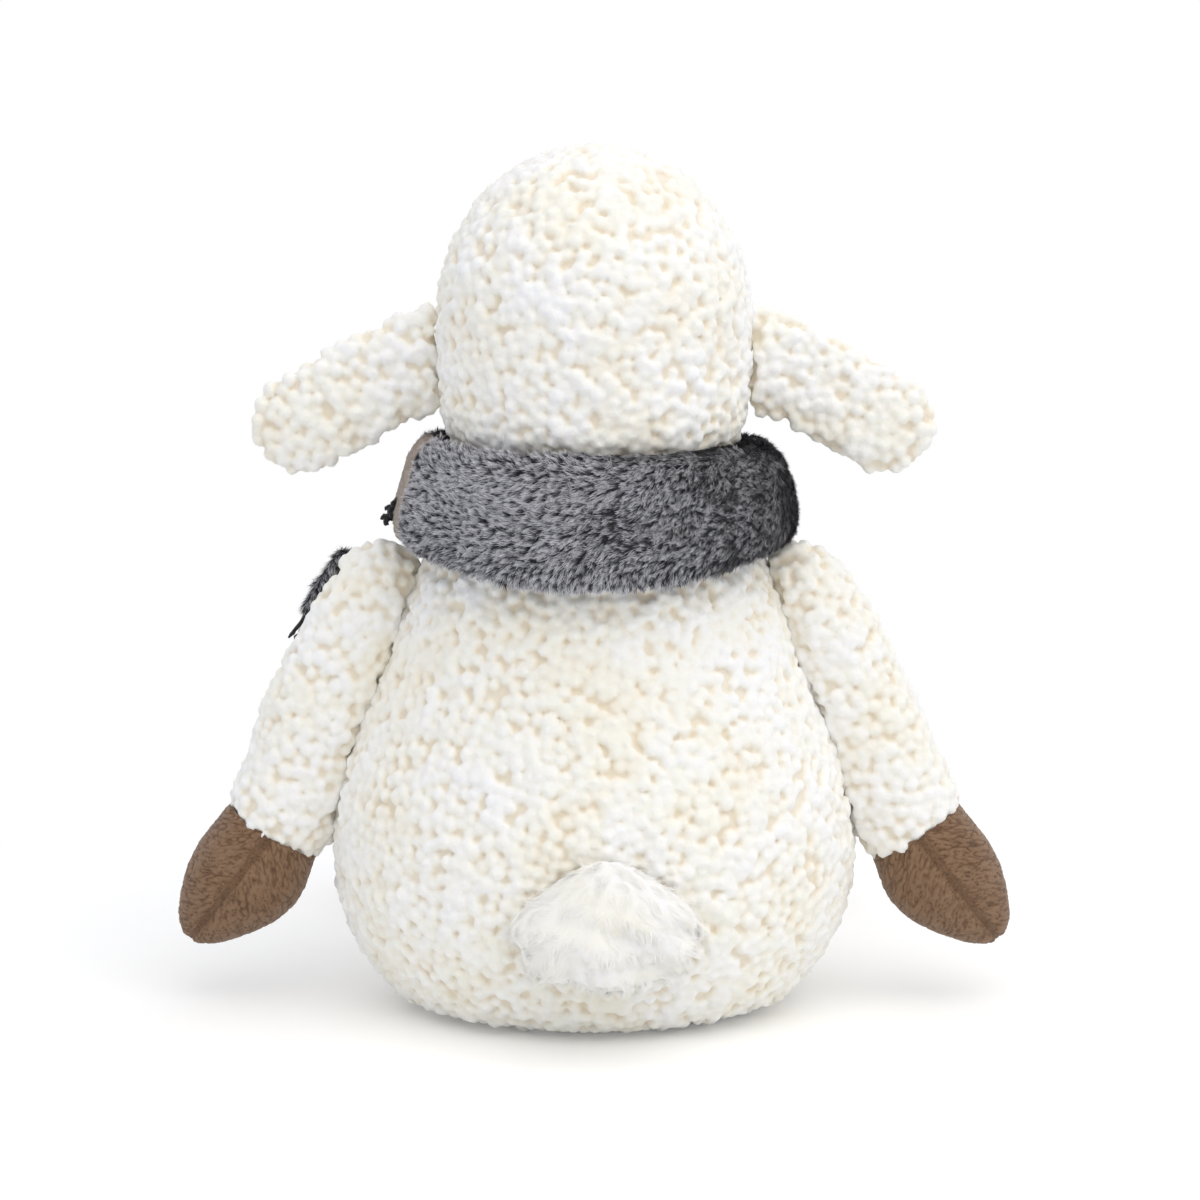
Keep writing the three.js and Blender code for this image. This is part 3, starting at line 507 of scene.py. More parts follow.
def planted(name, shapes, points, turns, sizes, tones):
    """One mesh of many small copies. Each shape is (corners, faces, pile), and pile runs from 0 at the root
    to 1 at the top, for the colour."""
    all_points, all_faces, all_pile, all_tone = [], [], [], []
    picked = np.arange(len(points)) % len(shapes)
    base = 0
    for number, (corners, faces, pile) in enumerate(shapes):
        mine = picked == number
        count = mine.sum()
        made = np.einsum("nij,vj->nvi", turns[mine], corners) * sizes[mine][:, None, None]
        made += points[mine][:, None, :]
        all_points.append(made.reshape(-1, 3))
        starts = base + np.arange(count) * len(corners)
        for face in faces:
            all_faces.append(starts[:, None] + np.asarray(face)[None, :])
        all_pile.append(np.tile(pile, count))
        all_tone.append(np.repeat(tones[mine], len(corners)))
        base += count * len(corners)
    mesh = bpy.data.meshes.new(name)
    everywhere = np.concatenate(all_points)
    lengths = np.concatenate([np.full(len(f), f.shape[1]) for f in all_faces])
    corners = np.concatenate([f.ravel() for f in all_faces])
    mesh.vertices.add(len(everywhere))
    mesh.vertices.foreach_set("co", everywhere.astype(np.float32).ravel())
    mesh.loops.add(len(corners))
    mesh.loops.foreach_set("vertex_index", corners.astype(np.int32))
    mesh.polygons.add(len(lengths))
    starts = np.concatenate([[0], np.cumsum(lengths)[:-1]])
    mesh.polygons.foreach_set("loop_start", starts.astype(np.int32))
    mesh.update(calc_edges=True)
    piece = bpy.data.objects.new(name, mesh)
    bpy.context.collection.objects.link(piece)
    label(piece, "pile", np.concatenate(all_pile))
    label(piece, "tone", np.concatenate(all_tone))
    mesh.polygons.foreach_set("use_smooth", np.ones(len(lengths), dtype=bool))
    return piece


TUBE_HELPER = np.array([0.35, 0.2, 1.0])  # a way that no tube runs


def tube_shape(path, radii, sides):
    """A closed tube round a path: corners and faces."""
    tangents = unit_rows(np.gradient(path, axis=0))
    u = unit_rows(np.cross(tangents, TUBE_HELPER))
    v = np.cross(tangents, u)
    angles = 2 * math.pi * np.arange(sides) / sides
    rings = (
        path[:, None]
        + radii[:, None, None] * (u[:, None] * np.cos(angles)[None, :, None])
        + radii[:, None, None] * (v[:, None] * np.sin(angles)[None, :, None])
    )
    corners = rings.reshape(-1, 3)
    faces = []
    for ring, side in product(range(len(path) - 1), range(sides)):
        a = ring * sides + side
        b = ring * sides + (side + 1) % sides
        faces.append((b, b + sides, a + sides, a))
    faces.append(tuple(range(sides))[::-1])
    faces.append(tuple((len(path) - 1) * sides + np.arange(sides)))
    return corners, faces


# Curls of the fleece
CURL_SPACING = 3.2 * MM
CURL_RING = 1.75 * MM  # from a curl's middle to the middle of its yarn
CURL_YARN = 1.0 * MM
CURL_STEPS = 12
CURL_SIDES = 6
CURL_KINDS = 12
CURL_TURNS = (1.2, 1.9)  # of its yarn
CURL_WOUND = 0.75  # how much of the ring's radius is gone where the yarn ends
CURL_LOWEST = 0.3 * MM
CURL_RISE_MM = (0.8, 1.5)
CURL_TILT = 0.5  # radians, at most
CURL_SIZES = (0.8, 1.25)
CURL_HEIGHTS = (-0.3 * MM, 0.5 * MM)
HEAP_HEIGHT = 0.8 * MM  # curls stand higher in places
HEAP_SIZE = 6 * MM
HEART_SIDES = 8
HEART_WIDTH = 2.6 * MM  # half across the knot of yarn inside a curl
HEART_HEIGHTS = np.array((-1.6, -0.9, 0.0, 0.9, 1.5)) * MM
HEART_SHARES = np.array((0.5, 0.9, 1.0, 0.8, 0.4))
FLEECE_KEPT = 0.5  # of the fused fleece's triangles
PILE_HIGH = 3.6 * MM  # above the cloth, where the painted shade between the curls has given way to the fleece's palest colour


def curl_shapes(rng):
    """Ringlets of soft yarn, wound inwards and up over a knot of the same yarn, some of them tilted."""
    shapes = []
    for _ in range(CURL_KINDS):
        turns = rng.uniform(*CURL_TURNS)
        t = np.linspace(0, 1, CURL_STEPS)
        angle = 2 * math.pi * turns * t
        radius = CURL_RING * (1 - CURL_WOUND * t**1.3) * rng.uniform(0.85, 1.15)
        rise = CURL_LOWEST + rng.uniform(*CURL_RISE_MM) * MM * t
        path = np.stack([radius * np.cos(angle), radius * np.sin(angle), rise], axis=1)
        radii = CURL_YARN * (0.8 + 0.2 * np.sin(math.pi * t)) * (1 + 0.1 * rng.normal(size=CURL_STEPS))
        ring, ring_faces = tube_shape(path, radii, CURL_SIDES)
        heart_path = HEART_HEIGHTS[:, None] * (0, 0, 1)
        heart, heart_faces = tube_shape(heart_path, HEART_WIDTH * HEART_SHARES, HEART_SIDES)
        corners = np.concatenate([ring, heart])
        faces = ring_faces + [tuple(np.array(face) + len(ring)) for face in heart_faces]
        tilt = np.array(Matrix.Rotation(rng.uniform(0.0, CURL_TILT), 3, "X"))
        shapes.append((corners @ tilt.T, faces, np.clip(corners[:, 2] / PILE_HIGH, 0, 1)))
    return shapes


CURLS = curl_shapes(np.random.default_rng(3))


def curls(name, piece, seed, keep):
    """Fleece curls planted all over a stuffed piece."""
    rng = np.random.default_rng(seed)
    points, normals = spaced(piece, CURL_SPACING, rng, keep)
    count = len(points)
    turns = frames_on(normals, rng.normal(size=(count, 3)))
    sizes = rng.uniform(*CURL_SIZES, count)
    heights = rng.uniform(*CURL_HEIGHTS, count) + HEAP_HEIGHT * lumps(points, HEAP_SIZE, seed + 1)
    raised = points + normals * heights[:, None]
    return planted(name, CURLS, raised, turns, sizes, np.zeros(count))


def tree_over(points, piece):
    """A search tree for the nearest place on a piece whose corners are moved to the points."""
    faces = [face.vertices for face in piece.data.polygons]
    return BVHTree.FromPolygons([Vector(point) for point in points], faces)


def heights_over(piece, base):
    """How far each corner of a piece is from another piece's surface."""
    tree = tree_over([v.co for v in base.data.vertices], base)
    return np.array([tree.find_nearest(v.co)[3] for v in piece.data.vertices])


# Pile of the fur and the tail
BLADE_KINDS = 9
BLADE_CURVES = (0.0, 0.3)
ROOT_DEPTH = 0.4 * MM  # of a strand's root under the cloth
STRAND_JITTER = 0.12
TUFT_TONE, STRAND_TONE, PATCH_TONE = 0.35, 0.5, 0.15  # shares of a strand's tone
PATCH_SIZE = 9 * MM
FROST_LOW, FROST_HIGH = 0.2, 0.52  # tones under and over which a shaded strand is dark or frosted


def blade_shape(length, width, lift, curve):
    """One tapering strand that runs from its root along Y, rises by the lift and bends down by the curve."""
    t = np.array([0.0, 0.45, 1.0])
    y, z = length * t, length * (lift * t - curve * t**2)
    half = width / 2 * np.array([0.8, 1.0, 0.0])
    ends = ((0, -1), (0, 1), (1, 1), (1, -1), (2, 0))  # the place along the strand, and the side of it
    corners = np.array([(side * half[at], y[at], z[at]) for at, side in ends])
    return corners, [(0, 1, 2, 3), (3, 2, 4)], t[[0, 0, 1, 1, 2]]


def pile(name, piece, count, seed, *, flow, tuft, length, width, lift, gather, jitter, keep=None, shade=None):
    """Straight pile in tufts: the strands of a tuft lean together towards its middle, by gather, and share
    a tone. flow(points) is the way that the pile lies, and tufts stray from it by jitter. shade(points)
    makes each strand either dark or frosted, and more of them frosted where it is higher."""
    rng = np.random.default_rng(seed)
    shapes = [
        blade_shape(length, width, rng.uniform(*lift), rng.uniform(*BLADE_CURVES))
        for _ in range(BLADE_KINDS)
    ]
    middles, _ = spaced(piece, tuft, rng, keep)
    middle_lie = unit_rows(flow(middles))
    middle_lie += jitter * rng.normal(size=middle_lie.shape)
    middle_tone = rng.random(len(middles))
    tree = KDTree(len(middles))
    for number, middle in enumerate(middles):
        tree.insert(middle, number)
    tree.balance()
    points, normals = spread(piece, count, rng, keep)
    nearest = np.array([tree.find(point)[1] for point in points])
    lie = middle_lie[nearest] + gather * (middles[nearest] - points) / tuft
    lie += STRAND_JITTER * rng.normal(size=lie.shape)
    tones = TUFT_TONE * middle_tone[nearest] + STRAND_TONE * rng.random(count)
    tones += PATCH_TONE * lumps(points, PATCH_SIZE, seed)
    if shade is not None:
        tones = smoothstep(tones * shade(points), FROST_LOW, FROST_HIGH)
    turns = frames_on(normals, lie)
    sizes = rng.uniform(0.7, 1.2, count) * (0.8 + 0.4 * middle_tone[nearest])
    return planted(name, shapes, points - normals * ROOT_DEPTH, turns, sizes, tones)


# Finishes
# deep and low: painted shade between the curls, darkest lowest; high: the cream of the curls' tops
FLEECE = fleece_material("boucle_fleece", "#f2eada", "#f9f5ec", "#fdfcf7")
# dark is painted shade between the streaks and in the seams; mid and light are the plush's own brown
PLUSH = plush_material("short_plush", "#54402e", "#735740", "#8e7259")
FUR = fur_material("faux_fur", "#0a0a0c", "#4e4e54", "#f4f4f8", "#48484d")
SCARF_BACKING = backing_material("scarf_backing", "#1c1c1f", "#38383d", "#a89c92", 3 * MM)
RIM_PILE = fur_material("scarf_rim_pile", "#6b5d54", "#978a80", "#b5a99f", "#a09890")
TAIL_FUR = fur_material("tail_fur", "#fcfaf4", "#fefdfa", "#ffffff", "#fdfbf7")
FRINGE = yarn_material("fringe_yarn", "#131315", "#2e2e33")
THREAD = yarn_material("face_thread", "#1e1712", "#3d3027")
EYE = gloss_material("eye_acrylic", "#0a0807")


def finish_piece(piece, material, slot, bodies, start=None, end=None):
    """Gives a piece its finish and, where it goes with one body, attaches it to that body; where it goes with
    two, only bakes in its transform.
    """
    piece.data.materials.clear()
    piece.data.materials.append(material)
    if len(bodies) == 1:
        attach(piece, bodies[0])
    else:
        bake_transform(piece)


def fleece_piece(
    name, nodes, seed, bodies, voxel=5 * MM, inset=2.8 * MM, fuse=0.75 * MM, keep=None, tuck=None, **blend
):
    """A stuffed form with its curls, grown together into one soft surface. tuck(points) is how far its
    cloth is pressed in towards the middle of the toy."""
    cloth = from_nodes(f"{name}_cloth", *nodes)
    stuff(cloth, voxel, inset)
    if tuck is not None:
        points = coordinates(cloth)
        points[:, 0] -= np.sign(points[:, 0]) * tuck(points)
        set_coordinates(cloth, points)
    rest_on_floor(cloth)
    grown = curls(name, cloth, seed, keep)
    form = joined(name, duplicate(cloth), grown)
    remesh(form, fuse, 1)
    apply_modifier(form, "DECIMATE", ratio=FLEECE_KEPT)
    rest_on_floor(form)
    smooth_shade(form)
    # the height over the cloth, which the fleece's material turns into painted shade between the curls
    label(form, "pile", np.clip(heights_over(form, cloth) / PILE_HIGH, 0, 1))
    finish_piece(form, FLEECE, "fleece", bodies, **blend)
    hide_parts(*nodes)
    bpy.data.objects.remove(cloth)


def corner_box(node):
    """A CAD solid's lowest and highest corner."""
    return (np.array(corner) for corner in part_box(node))


make_camera()
make_studio()

# Torso and head
SCARF_LAP = 22 * MM  # of the torso's curls under the scarf
HEAD_LAP = 10 * MM  # of the head's curls into it
TORSO_FOOT = 14 * MM  # under this height the torso's cloth turns in
TORSO_BARE = 1 * MM  # nothing grows where it stands
TAIL_SEAM = 5 * MM  # of curls under the tail's edge
TAIL_ASIDE = np.array((-4.5, 0, 4)) * MM  # the puff hangs a little askew from its seam
FACE_BARE = 0.8  # of the face's ellipse
scarf_low, scarf_high = corner_box("scarf_turn")
tail_low, tail_high = corner_box("tail")
face_low, face_high = corner_box("face_muzzle")


def outward(points, normals):
    """Faces that look away from the upright middle line, not the walls inside a cover."""
    return (points[:, :2] * normals[:, :2]).sum(axis=1) > 0


def off_middle(points, low, high, shrunk=0):
    """How far points are from the middle of a box seen from behind, where 1 is its ellipse."""
    middle, half = (low + high) / 2, (high - low) / 2 - shrunk
    return (((points - middle)[:, ::2] / half[::2]) ** 2).sum(axis=1)


def on_torso(points, normals):
    between = (points[:, 2] < scarf_low[2] + SCARF_LAP) & (points[:, 2] > TORSO_BARE)
    off_tail = off_middle(points - TAIL_ASIDE, tail_low, tail_high, TAIL_SEAM)
    clear = (off_tail > 1) | (points[:, 1] < 0)
    return between & clear & (outward(points, normals) | (points[:, 2] < TORSO_FOOT))


def on_head(points, normals):
    clear = (off_middle(points, face_low, face_high) > FACE_BARE) | (points[:, 1] > 0)
    return (points[:, 2] > scarf_high[2] - HEAD_LAP) & clear


TORSO_NODES = ("torso_cover", "torso_stuffing", "pellet_bag")
HEAD_NODES = ("head_cover", "head_stuffing", "eye_washer_left", "eye_washer_right")
fleece_piece("torso_fleece", TORSO_NODES, 11, ("torso",), keep=on_torso)
fleece_piece("head_fleece", HEAD_NODES, 12, ("head",), inset=3.8 * MM, keep=on_head)

# Short plush
STREAK_WIDTH = 1.8 * MM
STREAK_LENGTH = 7 * MM
STREAK_DEPTH = 0.45 * MM
STREAK_FINER = (2.3, 1.9, 1.0)  # across, along and through the form
SEAM_DEPTH = 1.1 * MM
SEAM_WIDTH = 1.3 * MM
PART_BEND = 3 * MM  # how near a hoof's seam the pile bends into line with it
PART_SLOPE = 1.1
PART_NEAREST = 0.08  # of the bend: no pile is reckoned nearer to the seam


def streaks(lie, depths, seed):
    """How high short pile stands, from 0 down between its streaks to 1. lie gives places across the
    streaks and along them, and depths keeps a form's two faces from sharing one pattern."""
    across, along = lie
    places = np.stack(
        [across / STREAK_WIDTH, along / STREAK_LENGTH, depths / STREAK_LENGTH + seed], axis=1
    )
    coarse, fine = (
        np.array([perlin(Vector(place)) for place in at]) for at in (places, places * STREAK_FINER)
    )
    return 1 - 0.7 * np.exp(-((coarse / 0.12) ** 2)) - 0.3 * np.exp(-((fine / 0.15) ** 2))


def plush_piece(
    name, node, bodies, lie, seed, voxel=2 * MM, inset=0.5 * MM, finer=2, seam=None, swell=None, **blend
):
    """A form in short plush. lie(points) places the pile's streaks, seam(points) is each point's
    distance from a sewn seam, where the cloth is drawn in, and swell(points) moves the points where the
    stuffing has settled."""
    form = from_nodes(name, node)
    stuff(form, voxel, inset, most=1.5 * MM)
    if swell is not None:
        points = coordinates(form)
        set_coordinates(form, points + swell(points))
    apply_modifier(form, "SUBSURF", levels=finer, render_levels=finer)
    points, normals = coordinates(form), coordinates(form, "normal")
    pile_height = streaks(lie(points), points[:, 1], seed)
    drawn = STREAK_DEPTH * (1 - pile_height)
    if seam is not None:
        near = np.exp(-((seam(points) / SEAM_WIDTH) ** 2))
        drawn += SEAM_DEPTH * near
        # painted shade in the seam's groove: the pile is reckoned lower there, so it is coloured darker
        pile_height *= 1 - 0.5 * near
    set_coordinates(form, points - normals * drawn[:, None])
    rest_on_floor(form)
    smooth_shade(form)
    label(form, "pile", pile_height)
    finish_piece(form, PLUSH, "plush", bodies, **blend)
    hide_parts(node)
    return form


def parted(root, axis, across):
    """Pile that lies away from the seam down a hoof's middle and towards its tip, bending into line with
    the seam beside it. Returns its lie and the distance from the seam."""
    root, axis, across = np.array(root), unit(*axis), unit(*across)

    def seam(points):
        return (points - root) @ across

    def lie(points):
        along, aside = (points - root) @ axis, np.abs(seam(points)) / PART_BEND
        swept = PART_BEND * np.log(np.sinh(np.maximum(aside, PART_NEAREST)))
        return PART_SLOPE * along - swept, along + PART_SLOPE * aside * PART_BEND

    return lie, seam


# Arms, legs and ears. The places are the left ones
SHOULDER = np.array((64.3, 0, 146.9)) * MM
WRIST = np.array((110.7, 0, 62.6)) * MM
ARM_TIP = np.array((142.5, 0, 20.3)) * MM
HIP = np.array((42.2, -65.4, 24.6)) * MM
ANKLE = np.array((53, -136, 22)) * MM
LEG_TIP = np.array((58, -186, 18)) * MM
ARM_OUTWARDS = unit(math.cos(math.radians(25)), 0, math.sin(math.radians(25)))
EAR_ROOT = np.array((55.5, 0, 227.6)) * MM
EAR_FLOW = unit(0.8, 0, -0.6)
EAR_TUCK = 6 * MM  # of the ear's root into the head
EAR_TUCKED = (56 * MM, 68 * MM)
CUFF_LAP = 2.5 * MM  # of the curls over the hooves' seams
ANKLE_LAP = 2 * MM
LEG_BARE = 0.8 * MM
PRESSED_IN = 3.5 * MM  # a sleeve's inside, by the torso
SLEEVE_FULLER = {"left": 3.5 * MM, "right": 1 * MM}  # the stuffing has settled more in one sleeve
SLEEVE_SWELLS = (78 * MM, 112 * MM)  # heights
HOOF_SWELL = np.array((-4.5, 0, -1)) * MM
END_CLEAR = 2.5 * MM  # of curls round the scarf's end


def pressed_inside(points):
    """How much of a left sleeve's cloth is pressed against the torso, from 0 to 1."""
    inner = smoothstep(-((points - SHOULDER) @ ARM_OUTWARDS), -14 * MM, 8 * MM)
    return inner * smoothstep(points[:, 2], 62 * MM, 80 * MM)


def over_sleeve(points):
    """Where a thing that lies on the left sleeve goes, moved out with the sleeve's swelling."""
    return points + np.outer(smoothstep(points[:, 2], *SLEEVE_SWELLS), (SLEEVE_FULLER["left"], 0, 0))


LAID = [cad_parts[node] for node in ("scarf_side_end", "scarf_side_fringe")]
LAID_TREES = [tree_over(over_sleeve(coordinates(piece)), piece) for piece in LAID]


def bare_of_end(points):
    """Off the place where the scarf's end lies on the left sleeve and presses its curls flat."""
    away = [min(tree.find_nearest(Vector(point))[3] for tree in LAID_TREES) for point in points]
    return np.array(away) > END_CLEAR


def full_outside(points):
    """How much of a left sleeve's cloth is swollen outwards, from 0 to 1."""
    outer = smoothstep((points - SHOULDER) @ ARM_OUTWARDS, -4 * MM, 12 * MM)
    above = smoothstep(points[:, 2], *SLEEVE_SWELLS)
    return outer * above * (1 - smoothstep(points[:, 2], 163 * MM, 178 * MM))


def hoof_swell(points):
    """A left arm's hoof is fuller towards the body, where its stuffing has settled."""
    length = np.linalg.norm(ARM_TIP - WRIST)
    along = (points - WRIST) @ (ARM_TIP - WRIST) / length**2
    across = unit(WRIST[2] - ARM_TIP[2], 0, ARM_TIP[0] - WRIST[0])
    inner = smoothstep(-(points - WRIST) @ across, -14 * MM, 14 * MM)
    middle = smoothstep(along, -0.05, 0.4) * (1 - smoothstep(along, 0.5, 1.05))
    return np.outer(inner * middle, HOOF_SWELL)


def bend_at(root, run_mm, mirror=1):
    """Where a piece would start to bend, at its seam, and where it would have bent all the way."""
    return {"start": root * mirror, "end": (root + np.array(run_mm) * MM) * mirror}


for side, hand in SIDES.items():
    mirror = np.array((hand, 1, 1))
    arm_axis = unit(*((ARM_TIP - WRIST) * mirror))
    arm_across = unit(arm_axis[2], 0, -arm_axis[0])
    cuff = seam_along(arm_axis, f"arm_sleeve_{side}", f"arm_hoof_{side}")
    fleece_piece(
        f"sleeve_fleece_{side}", (f"arm_sleeve_{side}", f"arm_stuffing_{side}"), 31 + hand,
        ("torso", f"arm_{side}"), voxel=4 * MM, inset=0.8 * MM,
        keep=lambda points, normals: (points @ arm_axis < cuff + CUFF_LAP) & bare_of_end(points),
        tuck=lambda points: PRESSED_IN * pressed_inside(points * mirror)
        - SLEEVE_FULLER[side] * full_outside(points * mirror),
        **bend_at(SHOULDER, (16, 0, -30), mirror),
    )
    lie, seam = parted(WRIST * mirror, arm_axis, arm_across)
    plush_piece(
        f"arm_hoof_plush_{side}", f"arm_hoof_{side}", (f"arm_{side}",), lie, 41 + hand,
        seam=seam, swell=lambda points: hoof_swell(points * mirror) * mirror,
    )

    leg_axis = unit(*((LEG_TIP - ANKLE) * mirror))
    ankle = seam_along(leg_axis, f"leg_cover_{side}", f"leg_hoof_{side}")
    fleece_piece(
        f"leg_fleece_{side}", (f"leg_cover_{side}", f"leg_stuffing_{side}"), 51 + hand,
        ("torso", f"leg_{side}"), voxel=4 * MM, fuse=1 * MM,
        keep=lambda points, normals: (points @ leg_axis < ankle + ANKLE_LAP) & (points[:, 2] > LEG_BARE),
        **bend_at(HIP, (2, -24, 0), mirror),
    )
    lie, seam = parted(ANKLE * mirror, leg_axis, (1, 0, 0))
    plush_piece(
        f"leg_hoof_plush_{side}", f"leg_hoof_{side}", (f"leg_{side}",), lie, 61 + hand,
        seam=seam, finer=1,
    )

    ear = bend_at(EAR_ROOT, (18, 0, -8), mirror)
    ear_bodies = ("head", f"ear_{side}")
    fleece_piece(
        f"ear_fleece_{side}", (f"ear_{side}",), 21 + hand, ear_bodies, voxel=2.5 * MM, inset=1.6 * MM,
        tuck=lambda points: EAR_TUCK * (1 - smoothstep(np.abs(points[:, 0]), *EAR_TUCKED)),
        **ear,
    )
    ear_flow, ear_side = EAR_FLOW * mirror, np.array((EAR_FLOW[2], 0, -EAR_FLOW[0])) * mirror
    plush_piece(
        f"ear_plush_{side}", f"ear_lining_{side}", ear_bodies,
        lambda points: (points @ ear_side, points @ ear_flow), 71 + hand,
        voxel=1.2 * MM, inset=0.2 * MM, finer=1, **ear,
    )

# Tail: a soft puff of longer white pile
TAIL_ROOT = np.array((0, 79.3, 64.8)) * MM
TAIL_TUFT_HEIGHT = 5 * MM
TAIL_TUFT_SIZE = 8 * MM
TAIL_TOP_WIDTH, TAIL_WIDER = 0.72, 0.42  # shares of its solid's width
TAIL_FULL = 0.6  # of the way down, where it is widest
tail_form = from_nodes("tail_cloth", "tail")
stuff(tail_form, 2 * MM, 1.2 * MM)
points, normals = coordinates(tail_form), coordinates(tail_form, "normal")
tail_middle = (tail_low + tail_high) / 2
tail_drop = (tail_high[2] - points[:, 2]) / (tail_high[2] - tail_low[2])
tail_tufts = smoothstep(tail_drop, 0.25, TAIL_FULL) * (lumps(points, TAIL_TUFT_SIZE, 82) - 0.4)
points += normals * (TAIL_TUFT_HEIGHT * tail_tufts)[:, None]
tail_widths = TAIL_TOP_WIDTH + TAIL_WIDER * smoothstep(tail_drop, 0, TAIL_FULL)
points[:, 0] = tail_middle[0] + (points[:, 0] - tail_middle[0]) * tail_widths
set_coordinates(tail_form, points + TAIL_ASIDE)
smooth_shade(tail_form)


def tail_flow(points):
    """Outwards all round from the seam at the tail's top."""
    away = points - (TAIL_ROOT + TAIL_ASIDE + np.array((0, 0, 6)) * MM)
    return away * (1.3, 0.3, 1.0)


tail_hair = pile(
    "tail_pile", tail_form, 15000, 81, flow=tail_flow, tuft=4.0 * MM,
    length=4.6 * MM, width=0.14 * MM, lift=(0.15, 0.5), gather=0.6, jitter=0.3,
)
tail_bend = bend_at(TAIL_ROOT, (0, 3, -9))
finish_piece(tail_form, FLEECE, "fleece", ("torso", "tail"), **tail_bend)
label(tail_form, "pile", 0.6 + 0.4 * lumps(coordinates(tail_form), 7 * MM, 83))
finish_piece(tail_hair, TAIL_FUR, "fleece", ("torso", "tail"), **tail_bend)
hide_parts("tail")

# Scarf: faux fur, its pile flowing round the neck, with a smooth rim at the sheep's left
SCARF_MIDDLE = (scarf_low[2] + scarf_high[2]) / 2
SCARF_HALF = (scarf_high[2] - scarf_low[2]) / 2
# Angles are in degrees: 0 is the sheep's left, 90 its back and 180 its right
RIM_START, RIM_END = -6, 17
RIM_LOW = 161 * MM
FUR_OVER_RIM = 5  # degrees
FOLD_START, FOLD_END = (92, 106), (168, 178)  # where the fold deepens and where it runs out
FOLD_DEPTH = 5 * MM
FOLD_HEIGHT = 195 * MM  # of the fold's edge, which runs round the right of the back
FOLD_HIGHLIGHT = 5 * MM  # of the painted highlight under the fold's edge, where the pile is paler


def scarf_flow(points):
    """Round the neck towards the sheep's left, fanned up and down at that end, and down at the lower edge."""
    angle = np.arctan2(points[:, 1], points[:, 0])
    height = (points[:, 2] - SCARF_MIDDLE) / SCARF_HALF
    leftness = smoothstep(points[:, 0], -40 * MM, 70 * MM)
    lower = smoothstep(-height, 0.45, 0.95)
    upper = smoothstep(height, 0.55, 0.95)
    swirl = 1.1 * (lumps(points, 17 * MM, 5) - 0.5)
    rise = leftness * 0.55 * height - 0.45 * (1 - leftness) - 1.5 * lower + 0.5 * upper + swirl
    round_neck = 1 - 1.1 * lower
    return np.stack([np.sin(angle) * round_neck, -np.cos(angle) * round_neck, rise], axis=1)


def degrees_round(points):
    return np.degrees(np.arctan2(points[:, 1], points[:, 0]))


def on_rim(points):
    """The rim's panel of short, taupe pile at the sheep's left."""
    angle = degrees_round(points)
    return (angle > RIM_START) & (angle < RIM_END) & (points[:, 2] > RIM_LOW)


def on_fur(points, normals):
    """The furred face. The fur lies over the rim's edge, so it is rooted short of it."""
    back_from_rim = points @ np.array(Matrix.Rotation(math.radians(FUR_OVER_RIM), 3, "Z"))
    return outward(points, normals) & ~on_rim(points) & ~on_rim(back_from_rim)


def above_fold(points):
    """How far a point is on the upper layer, above the fold at the right of the back, from 0 to 1."""
    angle = degrees_round(points)
    beside = smoothstep(angle, *FOLD_START) * (1 - smoothstep(angle, *FOLD_END))
    return beside * smoothstep(points[:, 2], FOLD_HEIGHT - 1 * MM, FOLD_HEIGHT + 2 * MM)


def scarf_shade(points):
    """Parted, darker places; paler towards the sheep's left, dark to the right, with painted shade above the
    fold and a painted highlight just under its edge.
    """
    parts = smoothstep(lumps(points, 13 * MM, 8), 0.12, 0.5)
    rightness = smoothstep(-points[:, 0], -35 * MM, 55 * MM)
    # painted shade over the layer above the fold
    above = above_fold(points)
    # painted highlight on the pile just under the fold's edge
    edge = above_fold(points + np.array((0, 0, FOLD_HIGHLIGHT))) * (1 - above)
    return (0.75 + 0.4 * parts) * (1.15 - 0.6 * rightness) * (1 - 0.4 * above + 0.4 * edge)


def scarf_cloth(name, nodes, voxel, inset):
    """Backing cloth, drawn in by the depth of its pile."""
    form = from_nodes(name, *nodes)
    remesh(form, voxel, 4, inset)
    smooth_shade(form)
    return form


turn = scarf_cloth("scarf_cloth", ("scarf_turn", "scarf_knot"), 3 * MM, 2.2 * MM)
turn_points = coordinates(turn)
turn_out = unit_rows(turn_points * (1, 1, 0))
set_coordinates(turn, turn_points - FOLD_DEPTH * above_fold(turn_points)[:, None] * turn_out)
SECTORS = (  # of the fur round the neck: strands and where they are
    (52000, lambda points: (points[:, 1] > 0) & (points[:, 0] > 0)),
    (52000, lambda points: (points[:, 1] > 0) & (points[:, 0] <= 0)),
    (30000, lambda points: points[:, 1] <= 0),
)
turn_fur = [
    pile(
        f"scarf_fur_{number + 1}", turn, strands, 91 + number, flow=scarf_flow, tuft=1.2 * MM,
        length=3.5 * MM, width=0.24 * MM, lift=(0.2, 0.6), gather=0.25, jitter=0.3, shade=scarf_shade,
        keep=lambda points, normals: on_fur(points, normals) & inside(points),
    )
    for number, (strands, inside) in enumerate(SECTORS)
]
rim = pile(
    "scarf_rim", turn, 12000, 95, flow=scarf_flow, tuft=1.6 * MM,
    length=2.6 * MM, width=0.34 * MM, lift=(0.1, 0.4), gather=0.8, jitter=0.3,
    keep=lambda points, normals: outward(points, normals) & on_rim(points),
)
finish_piece(turn, SCARF_BACKING, "fur", ("torso",))
label(turn, "rim", on_rim(coordinates(turn)))
for fur in turn_fur:
    finish_piece(fur, FUR, "fur", ("torso",))
finish_piece(rim, RIM_PILE, "fur", ("torso",))
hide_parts("scarf_turn", "scarf_knot")


